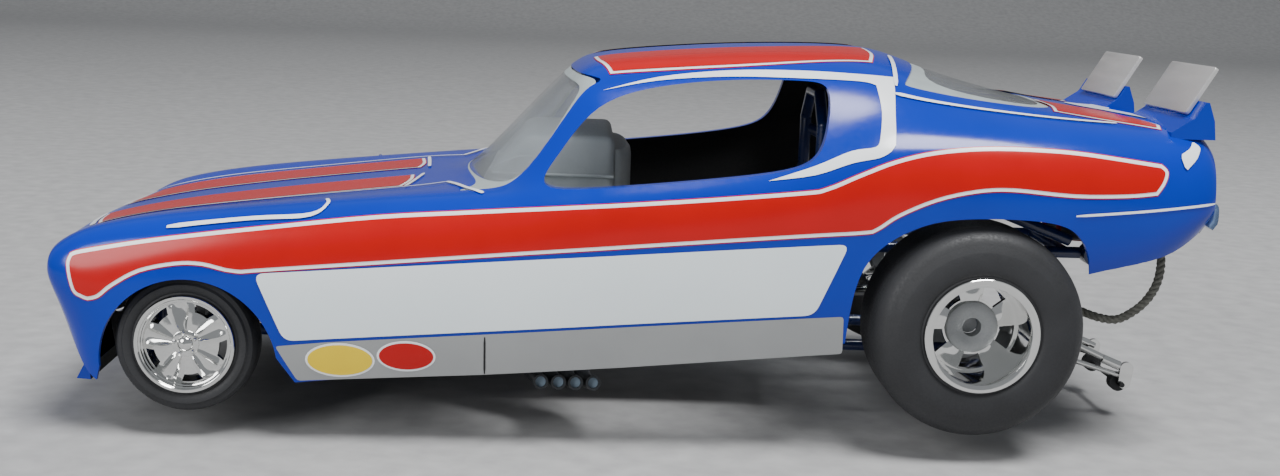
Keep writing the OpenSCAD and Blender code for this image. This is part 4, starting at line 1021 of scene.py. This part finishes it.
# lamps, grille, bumper and spoiler plates on the shell
ends = {"grilleBars": [11.6, 13.6, 15.6, 17.6, 19.6, 21.4], "barHalf": 12.9, "barHeight": 0.55,
        "bumper": [(-29.6, 33.9), (29.6, 33.9), (29.6, 37.6), (-29.6, 37.6)],
        "plate": {"foot": (87.3, 51.25), "inner": 7.2, "outer": 25.0, "height": 8.6, "thick": 0.7,
                  "lean": 30}}


# A round bead that follows the shell round a lamp.
def ringOn(side, centre, radius, thick, lift, count=48):
    path = []
    for a, b in circleLoop(centre, radius, count):
        place, normal = onShell(side, a, b)
        path.append(place + normal * lift)
    points, faces = sweepTube(path + path[:1], thick, 10, closed=False)
    n = count * 10
    return points[:n], [[i % n for i in face] for face in faces]


def buildLamps():
    y, z, r = shell["headlamp"]
    spots = [("front", (s * y, z), r - 0.14) for s in (-1, 1)]
    bowls = [layOn(circleLoop(c, size, 32), side, (-0.8, -1.25), 1.2) for side, c, size in spots]
    lenses = [layOn(circleLoop(c, size - 0.5, 32), side, (-0.05, -0.6), 1.2) for side, c, size in spots]
    placePatch("headlampBowls", bowls, finishes["chrome"], ["headlamps"])
    placePatch("headlampLenses", lenses, finishes["lampClear"])
    rings = [ringOn(side, c, size - 0.28, 0.26, -0.1) for side, c, size in spots]
    ys, z, r = shell["tailLamp"]
    spots = [("back", (s * a, z), r - 0.12) for s in (-1, 1) for a in ys]
    lenses = [layOn(circleLoop(c, size - 0.45, 28), side, (0.02, -1.1), 1.0) for side, c, size in spots]
    placePatch("tailLampLenses", lenses, finishes["lampRed"], ["tail_lamps"])
    rings += [ringOn(side, c, size - 0.26, 0.25, -0.1, 40) for side, c, size in spots]
    rings += [ringOn(side, c, 1.0, 0.14, 0.0, 24) for side, c, size in spots]
    outwardPiece("lampRings", joined(*rings), finishes["chrome"], "tilt_body", ())


def buildGrille(v):
    loop = grown(smoothLoop(shell["grille"], 6), -0.14)
    placePatch("grilleBack", [layOn(loop, "front", (-1.1, -1.5), 1.6)], finishes["satinBlack"],
               ["grille"])
    bars = []
    for z in v["grilleBars"]:
        half = v["barHalf"] - max(0, 16 - z) * 0.55
        tall = v["barHeight"] / 2
        corners = [(-half, z - tall), (half, z - tall), (half, z + tall), (-half, z + tall)]
        bars.append(layOn(roundedOutline(corners, 0.2, 2), "front", (-0.3, -1.2), 1.2))
    for y in (-8.5, 0, 8.5):
        corners = [(y - 0.25, 10.9), (y + 0.25, 10.9), (y + 0.25, 21.9), (y - 0.25, 21.9)]
        bars.append(layOn(roundedOutline(corners, 0.1, 2), "front", (-0.42, -1.2), 1.2))
    placePatch("grilleBars", bars, finishes["satinPlate"])
    rim = [onShell("front", a, b) for a, b in grown(smoothLoop(shell["grille"], 6), -0.42)]
    path = [p - n * 0.15 for p, n in rim]
    points, faces = sweepTube(path + path[:1], 0.28, 10, closed=False)
    n = len(path) * 10
    outwardPiece("grilleRim", (points[:n], [[i % n for i in f] for f in faces]), finishes["chrome"],
                 "tilt_body", ())


def buildBumper(v):
    blade = layOn(roundedOutline(v["bumper"], 1.2, 4), "back", (1.3, 0.0), 1.2)
    placePatch("rearBumper", [blade], finishes["paleBlue"], ["rear_bumper"])


def buildPlates(v):
    p = v["plate"]
    lean = math.radians(p["lean"])
    up = Vector((math.sin(lean), 0, math.cos(lean)))
    back = Vector((-math.cos(lean), 0, math.sin(lean)))
    foot = Vector((p["foot"][0], 0, p["foot"][1]))
    shapes = []
    face = roundedOutline([(p["inner"], 0), (p["outer"], 0), (p["outer"], p["height"]),
                           (p["inner"], p["height"])],
                          0.5, 3)
    flat, faces = prism(face, "z", 0, p["thick"])
    shapes.append(([tuple(foot + Vector((0, a, 0)) + up * b + back * c) for a, b, c in flat], faces))
    for y in (p["inner"] + 1.6, (p["inner"] + p["outer"]) / 2, p["outer"] - 1.6):
        head = foot + Vector((0, y, 0)) + up * 1.2 - back * 0.02
        rings = [(0.0, 0.22), (0.2, 0.2), (0.34, 0.1), (0.38, 0.0), (0.0, 0.0)]
        points = []
        for k in range(12):
            a = 2 * math.pi * k / 12
            points += [tuple(head + Vector((0, 1, 0)) * r * math.cos(a) + up * r * math.sin(a) - back * h)
                       for r, h in rings]
        n = len(rings)
        shapes.append((points, [[k * n + i, k * n + (i + 1) % n, (k + 1) % 12 * n + (i + 1) % n,
                                 (k + 1) % 12 * n + i] for k in range(12) for i in range(n)]))
    outwardPiece("spoilerPlates", bothSides(joined(*shapes)), finishes["sheetAluminium"], "tilt_body",
                 ["spoiler_plates"], bevel=0.12)


buildLamps()
buildGrille(ends)
buildBumper(ends)
buildPlates(ends)
print("lamps, grille, bumper and plates ready")

# cockpit cover, exhaust, parachute pack
cockpit = {"tin": [(-29, 30), (-24.9, 37), (-19.2, 43.6), (-4.3, 43.6), (-4.3, 30)], "half": 16, "sheet": 0.8,
           "round": 1.4, "seam": 37.0,
           "cowl": {"x": -4.2, "depth": 3.1, "half": 13.9, "low": 30, "top": 41.3}}


def buildCockpit(v):
    shape = prism(v["tin"], "y", -v["half"], v["half"])
    n = len(v["tin"])
    openFaces = [f for f in shape[1] if sorted(f) != sorted([n - 1, 0, n, 2 * n - 1])]
    piece = makePiece("tinSheet", (shape[0], openFaces), finishes["tinGrey"], None)
    rounded = piece.modifiers.new("edges", "BEVEL")
    rounded.width, rounded.segments, rounded.limit_method = v["round"] * mm, 4, "ANGLE"
    wall = piece.modifiers.new("sheet", "SOLIDIFY")
    wall.thickness, wall.offset = v["sheet"] * mm, -1
    bakeModifiers(piece)
    mesh = piece.data
    sheet = ([tuple(q.co / mm) for q in mesh.vertices], [list(f.vertices) for f in mesh.polygons])
    bpy.data.objects.remove(piece)
    edge = v["half"] + 0.02
    rib = [(-24.7, 37.0), (-4.4, 37.0)]
    trim = [sweepTube([(x, s * edge, z) for x, z in rib], 0.3, 10) for s in (-1, 1)]
    trim += [sweepTube([(-24.9, -edge + 1.6, v["seam"]), (-24.9, edge - 1.6, v["seam"])], 0.3, 10)]
    flange = solidBox((-24, v["half"] - 0.5, 30), (-4.3, v["half"] + 7, 30.8))
    foot = joined(solidBox((-7.6, 8.5, 16.65), (-6, 10.5, 30.2)),
                  solidBox((-7.6, 8.5, 30), (-6, v["half"], 30.8)))
    outwardPiece("cockpitTin", joined(sheet, *trim, bothSides(joined(flange, foot))), finishes["tinGrey"],
                 "root", ["cockpit_tin"], 40)
    c = v["cowl"]
    points, faces, levels = [], [], []
    for k in range(13):
        t = k / 12
        drop = 1 - (1 - min((1 - t) * 5, 1)) ** 2
        levels.append((c["low"] + (c["top"] - c["low"]) * t, 0.72 + 0.28 * math.sqrt(drop)))
    outline = [(math.sin(a), math.cos(a)) for a in (math.pi * k / 32 for k in range(33))]
    for z, size in levels:
        points += [(c["x"] + c["depth"] * a * size, c["half"] * b * (0.9 + 0.1 * size), z)
                   for a, b in outline]
    n = len(outline)
    for g in range(len(levels) - 1):
        faces += [[g * n + k, g * n + (k + 1) % n, (g + 1) * n + (k + 1) % n,
                   (g + 1) * n + k] for k in range(n)]
    faces += [list(range(n)), [(len(levels) - 1) * n + k for k in range(n)]]
    outwardPiece("dashCowl", (points, faces), finishes["tinPale"], "root", ["dash_cowl"])


exhaust = {"pipeX": (-15.2, -12.4, -9.7, -6.9), "pitch": 5.6, "engineX": -22, "radius": 1.19, "bore": 0.86,
           "port": (10.35, 19.3), "tipY": 32.0}


def buildHeaders(v):
    pipes, insides = [], []
    for i, px in enumerate(v["pipeX"]):
        x0 = v["engineX"] + (i - 1.5) * v["pitch"]
        y0, z0 = v["port"]
        path = [Vector(p) for p in curveThrough([(x0, -y0, z0), (x0 + 0.2, -y0 - 2.8, z0 - 1.7),
                                                 ((x0 + px - 1.6) / 2, -y0 - 5.6, 10.5),
                                                 (px - 1.6, -v["tipY"] + 12, 4.3), (px, -v["tipY"], 6.2)], 8)]
        outer, faces = sweepTube(path, v["radius"], 20, closed=False)
        mouth = path[-9:][::-1]
        bore, boreFaces = sweepTube(mouth, v["bore"], 20, closed=False)
        ring = len(outer) - 20
        shift = len(outer)
        along = (path[-1] - path[-2]).normalized()
        faces += [[i + shift for i in f] for f in boreFaces]
        near = [min(range(20), key=lambda k: (Vector(outer[ring + j]) - Vector(bore[k])).length)
                for j in range(20)]
        faces += [[ring + j, ring + (j + 1) % 20, shift + near[(j + 1) % 20],
                   shift + near[j]] for j in range(20)]
        faces += [list(range(20)), [shift + len(bore) - 20 + k for k in range(20)]]
        pipes.append((outer + bore, faces))
        seat = path[-1] - along * 0.9
        insides.append(sweepTube([seat - along * 0.3, seat], v["bore"] - 0.02, 20))
        flange = Vector((x0, -y0, z0))
        pipes.append(sweepTube([flange, flange + Vector((0, -0.5, -0.3))], 1.7, 6))
    for side in ("left", "right"):
        turn = (lambda s: s) if side == "left" else mirrored
        outwardPiece(f"headers{side.title()}", turn(joined(*pipes)), finishes["pipeBlack"], "root",
                     [f"headers_{side}"], 50)
        outwardPiece(f"pipeMouths{side.title()}", turn(joined(*insides)), finishes["pipeInside"], "root", ())


pack = {"low": (74.5, -8.2, 26.65), "high": (87.9, 8.2, 39.55), "cuts": 22, "strapWidth": 1.6,
        "strapPlaces": (-4.2, 4.2), "strapSteps": 64, "strapInside": 0.95, "buckle": (34.2, 32.4, 1.1)}


# A laced cloth pack: crowned sides, pinched edges and creases, with two straps round it.
def buildPack(v):
    low, high = Vector(v["low"]), Vector(v["high"])
    middle, half = (low + high) / 2, (high - low) / 2
    work = bmesh.new()
    bmesh.ops.create_cube(work, size=2)
    bmesh.ops.subdivide_edges(work, edges=work.edges, cuts=v["cuts"], use_grid_fill=True)
    for q in work.verts:
        p = q.co.copy()
        length = sum(abs(c) ** 6 for c in p) ** (1 / 6)
        p = p / length
        wave = (0.5 * math.sin(7 * p.x + 3 * p.z) * math.sin(5 * p.y - 2 * p.z)
                + 0.3 * math.sin(11 * p.y + 4 * p.x))
        shrink = 0.96 - 0.025 * (1 - wave * 0.6) * (1 - abs(p.z) ** 4)
        q.co = Vector((p.x * shrink, p.y * shrink, p.z * (0.965 + 0.012 * wave)))
    points = [tuple(middle + Vector(a * b for a, b in zip(q.co, half))) for q in work.verts]
    faces = [[q.index for q in f.verts] for f in work.faces]
    work.free()
    cloth = outwardPiece("chutePack", (points, faces), finishes["packCanvas"], "root", ["chute_pack"],
                         60)
    straps, buckles = [], []
    count, inside = v["strapSteps"], v["strapInside"]
    for y in v["strapPlaces"]:
        loop = []
        for k in range(count):
            a = 2 * math.pi * k / count
            c, s = math.cos(a), math.sin(a)
            size = (abs(c) ** 6 + abs(s) ** 6) ** (-1 / 6) * 0.985
            loop.append((middle.x + half.x * c * size, middle.z + half.z * s * size))
        inner = [(middle.x + (x - middle.x) * inside, middle.z + (z - middle.z) * inside) for x, z in loop]
        points = [(x, y + w, z) for line in (loop, inner)
                  for w in (-v["strapWidth"] / 2, v["strapWidth"] / 2) for x, z in line]
        faces = []
        for k in range(count):
            m = (k + 1) % count
            a, b, c, d = ((k + ring * count, m + ring * count) for ring in range(4))
            faces += [[a[0], a[1], b[1], b[0]], [c[0], d[0], d[1], c[1]], [a[0], c[0], c[1], a[1]],
                      [b[0], b[1], d[1], d[0]]]
        straps.append((points, faces))
        x = high.x - 0.1
        top, low, w = v["buckle"]
        frameLine = [(x, y - w, top), (x, y + w, top), (x, y + w, low), (x, y - w, low), (x, y - w, top)]
        buckles.append(sweepTube(frameLine, 0.2, 8))
    outwardPiece("packStraps", joined(*straps), finishes["redWebbing"], "root", ())
    outwardPiece("packBuckles", joined(*buckles), finishes["satinPlate"], "root", ())


buildCockpit(cockpit)
buildHeaders(exhaust)
buildPack(pack)
print("cockpit cover, exhaust and pack ready")

# pieces that keep their own shape and only take a finish
kept = {"frameBlue": ["frame_left", "frame_right", "cross_tubes", "roll_cage", "hinge_eyes",
                      "body_hinge_arms", "engine_block"],
        "chrome": ["front_axle", "spindle_left", "spindle_right", "radius_rods", "drive_shaft",
                   "valve_covers", "injector", "wheelie_bar"],
        "castAlloy": ["rear_axle", "blower", "gearbox", "fuel_tank"], "sheetAluminium": ["floor_pan"],
        "satinBlack": ["seat", "steering_wheel"], "redWebbing": ["harness"], "rubber": ["wheelie_wheels"]}
for finish, names in kept.items():
    for name in names:
        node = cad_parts[name]
        for holder in node.material_slots:
            holder.material = finishes[finish]

bpy.context.view_layer.update()
